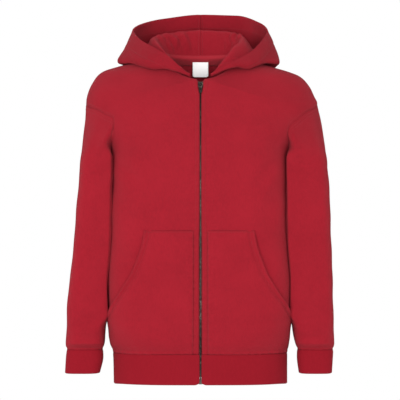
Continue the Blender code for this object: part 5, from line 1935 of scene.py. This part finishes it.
def strength_setting(name, description, default, low=0.0, unit="NONE"):
    """Setting without an upper limit."""
    return bpy.props.FloatProperty(name=name, description=description, default=default,
                                   min=low, unit=unit)


class HOODIE_PG_cloth(bpy.types.PropertyGroup):
    """Sizes of the cloth and how finely it is drawn."""

    thickness: length_setting(
        "Cloth thickness", "Thickness of the sweatshirt cloth", 0.0022, 0.001, 0.004)
    panel_rows: count_setting(
        "Panel rows", "Rows of a front or back below the underarm", 125, 25, 300, 25)
    panel_columns: count_setting(
        "Panel columns", "Columns across a front or half of the back", 84, 20, 200)
    pocket_rows: count_setting("Pocket rows", "Rows of a pocket", 96, 24, 200)
    pocket_columns: count_setting("Pocket columns", "Columns of a pocket", 64, 16, 160)
    pocket_lift: length_setting(
        "Pocket lift", "How far a pocket's face stands over the front", 0.0028, 0.0022, 0.008)
    sleeve_columns: count_setting(
        "Sleeve columns", "Columns around a sleeve, an even number", 128, 32, 256, 2)
    sleeve_rows: count_setting(
        "Sleeve rows", "Rows down the hanging part of a sleeve", 128, 40, 300)
    hood_rows: count_setting("Hood rows", "Rows around half of the neckline", 130, 30, 300)
    hood_cells: count_setting(
        "Hood cells", "Cells between two stations of the hood", 18, 4, 40)
    hood_hem: length_setting(
        "Hood hem", "Depth of the hem around the hood's opening", 0.0220, 0.010, 0.035)
    rib_pitch: length_setting(
        "Rib pitch", "Distance between two ribs", 0.0020, 0.0015, 0.006)
    rib_depth: length_setting(
        "Rib depth", "Depth of the furrows between ribs", 0.00032, 0.0002, 0.0015, 5)
    wale: length_setting(
        "Knit column", "Width of one column of knit loops", 0.0011, 0.0005, 0.003)


class HOODIE_PG_colours(bpy.types.PropertyGroup):
    """Colours of the cloth, label and metal."""

    body: colour_setting("Body", "Colour of the sweatshirt cloth", (0.272, 0.0096, 0.0188))
    rib: colour_setting("Rib", "Colour of the cuffs and the hem band", (0.196, 0.0055, 0.0118))
    metal: colour_setting("Metal", "Colour of the zip", (0.024, 0.022, 0.020))
    label: colour_setting("Label", "Colour of the neck label", (1.0, 1.0, 0.99))


class HOODIE_PG_stage(bpy.types.PropertyGroup):
    """Camera, lights and floor."""

    camera_distance: length_setting(
        "Camera distance", "Distance of the camera from the middle", 3.5, 0.5, 10.0)
    camera_height: length_setting("Camera height", "Height of the camera", -0.232, -5.0, 5.0)
    lens: strength_setting("Lens", "Focal length in millimetres", 196.875, 20.0)
    floor_height: length_setting("Floor height", "Height of the floor", -0.75, -5.0, 0.0)
    floor_radius: length_setting("Floor radius", "Radius of the floor", 1.4, 0.5, 10.0)
    surround: strength_setting("Surround", "Brightness of the even surround", 1.0)
    key_power: strength_setting("Key light", "Power of the main light", 38.0, unit="POWER")
    fill_power: strength_setting("Fill light", "Power of the fill light", 64.0, unit="POWER")


def prepared(context):
    """The cloth settings, once every finish has been made."""
    scene = context.scene
    if not LOOKS:
        make_looks(scene.hoodie_colours, scene.hoodie_cloth)
    return scene.hoodie_cloth


class HOODIE_OT_fronts(bpy.types.Operator):
    """Makes both fronts"""
    bl_idname = "hoodie.fronts"
    bl_label = "Fronts"

    def execute(self, context):
        make_fronts(prepared(context))
        return {"FINISHED"}


class HOODIE_OT_back(bpy.types.Operator):
    """Makes the back"""
    bl_idname = "hoodie.back"
    bl_label = "Back"

    def execute(self, context):
        make_back(prepared(context))
        return {"FINISHED"}


class HOODIE_OT_pockets(bpy.types.Operator):
    """Makes both patch pockets"""
    bl_idname = "hoodie.pockets"
    bl_label = "Pockets"

    def execute(self, context):
        make_pockets(prepared(context))
        return {"FINISHED"}


class HOODIE_OT_sleeves(bpy.types.Operator):
    """Makes both sleeves"""
    bl_idname = "hoodie.sleeves"
    bl_label = "Sleeves"

    def execute(self, context):
        make_sleeves(prepared(context))
        return {"FINISHED"}


class HOODIE_OT_ribs(bpy.types.Operator):
    """Makes the hem band and both cuffs"""
    bl_idname = "hoodie.ribs"
    bl_label = "Hem band and cuffs"

    def execute(self, context):
        cloth = prepared(context)
        make_hem(cloth)
        make_cuffs(cloth)
        return {"FINISHED"}


class HOODIE_OT_hood(bpy.types.Operator):
    """Makes both halves of the hood"""
    bl_idname = "hoodie.hood"
    bl_label = "Hood"

    def execute(self, context):
        make_hood(prepared(context))
        return {"FINISHED"}


class HOODIE_OT_zip(bpy.types.Operator):
    """Makes the zip's tapes and teeth"""
    bl_idname = "hoodie.zip"
    bl_label = "Zip"

    def execute(self, context):
        prepared(context)
        make_zip_tapes()
        make_teeth()
        return {"FINISHED"}


class HOODIE_OT_slider(bpy.types.Operator):
    """Makes the slider, the retainer box and the pull tab"""
    bl_idname = "hoodie.slider"
    bl_label = "Slider and pull tab"

    def execute(self, context):
        prepared(context)
        make_slider()
        make_zip_box()
        make_pull_tab()
        return {"FINISHED"}


class HOODIE_OT_neck(bpy.types.Operator):
    """Makes the neck tape and the bare label"""
    bl_idname = "hoodie.neck"
    bl_label = "Neck tape and label"

    def execute(self, context):
        prepared(context)
        make_neck_tape()
        make_label()
        return {"FINISHED"}


class HOODIE_OT_stage(bpy.types.Operator):
    """Makes the floor, the lights and the camera"""
    bl_idname = "hoodie.stage"
    bl_label = "Stage"

    def execute(self, context):
        make_stage(context.scene.hoodie_stage)
        return {"FINISHED"}


OPERATORS = (HOODIE_OT_fronts, HOODIE_OT_back, HOODIE_OT_pockets, HOODIE_OT_sleeves,
             HOODIE_OT_ribs, HOODIE_OT_hood, HOODIE_OT_zip, HOODIE_OT_slider,
             HOODIE_OT_neck, HOODIE_OT_stage)


class HOODIE_PT_panel(bpy.types.Panel):
    """Settings and steps, in the order in which they are used"""
    bl_idname = "HOODIE_PT_panel"
    bl_label = "Kids zip hoodie"
    bl_space_type = "VIEW_3D"
    bl_region_type = "UI"
    bl_category = "Hoodie"

    def draw(self, context):
        scene = context.scene
        for group in (scene.hoodie_cloth, scene.hoodie_colours, scene.hoodie_stage):
            box = self.layout.box()
            for name in group.__annotations__:
                box.prop(group, name)
        for operator in OPERATORS:
            self.layout.operator(operator.bl_idname)


GROUPS = {"hoodie_cloth": HOODIE_PG_cloth, "hoodie_colours": HOODIE_PG_colours,
          "hoodie_stage": HOODIE_PG_stage}


def register():
    """Registers the classes and adds the settings to the scene."""
    for item in tuple(GROUPS.values()) + OPERATORS + (HOODIE_PT_panel,):
        bpy.utils.register_class(item)
    for name, group in GROUPS.items():
        setattr(bpy.types.Scene, name, bpy.props.PointerProperty(type=group))


def unregister():
    """Takes the settings and the classes away again."""
    for name in GROUPS:
        delattr(bpy.types.Scene, name)
    for item in (HOODIE_PT_panel,) + OPERATORS[::-1] + tuple(GROUPS.values()):
        bpy.utils.unregister_class(item)


def plain(box):
    """A box's corners as plain lists of numbers."""
    return [[float(value) for value in corner] for corner in box]


def main():
    """Builds every piece in order."""
    register()
    for operator in OPERATORS:
        getattr(bpy.ops.hoodie, operator.bl_idname.split(".")[1])()
    bpy.context.view_layer.update()


if __name__ == "__main__":
    main()
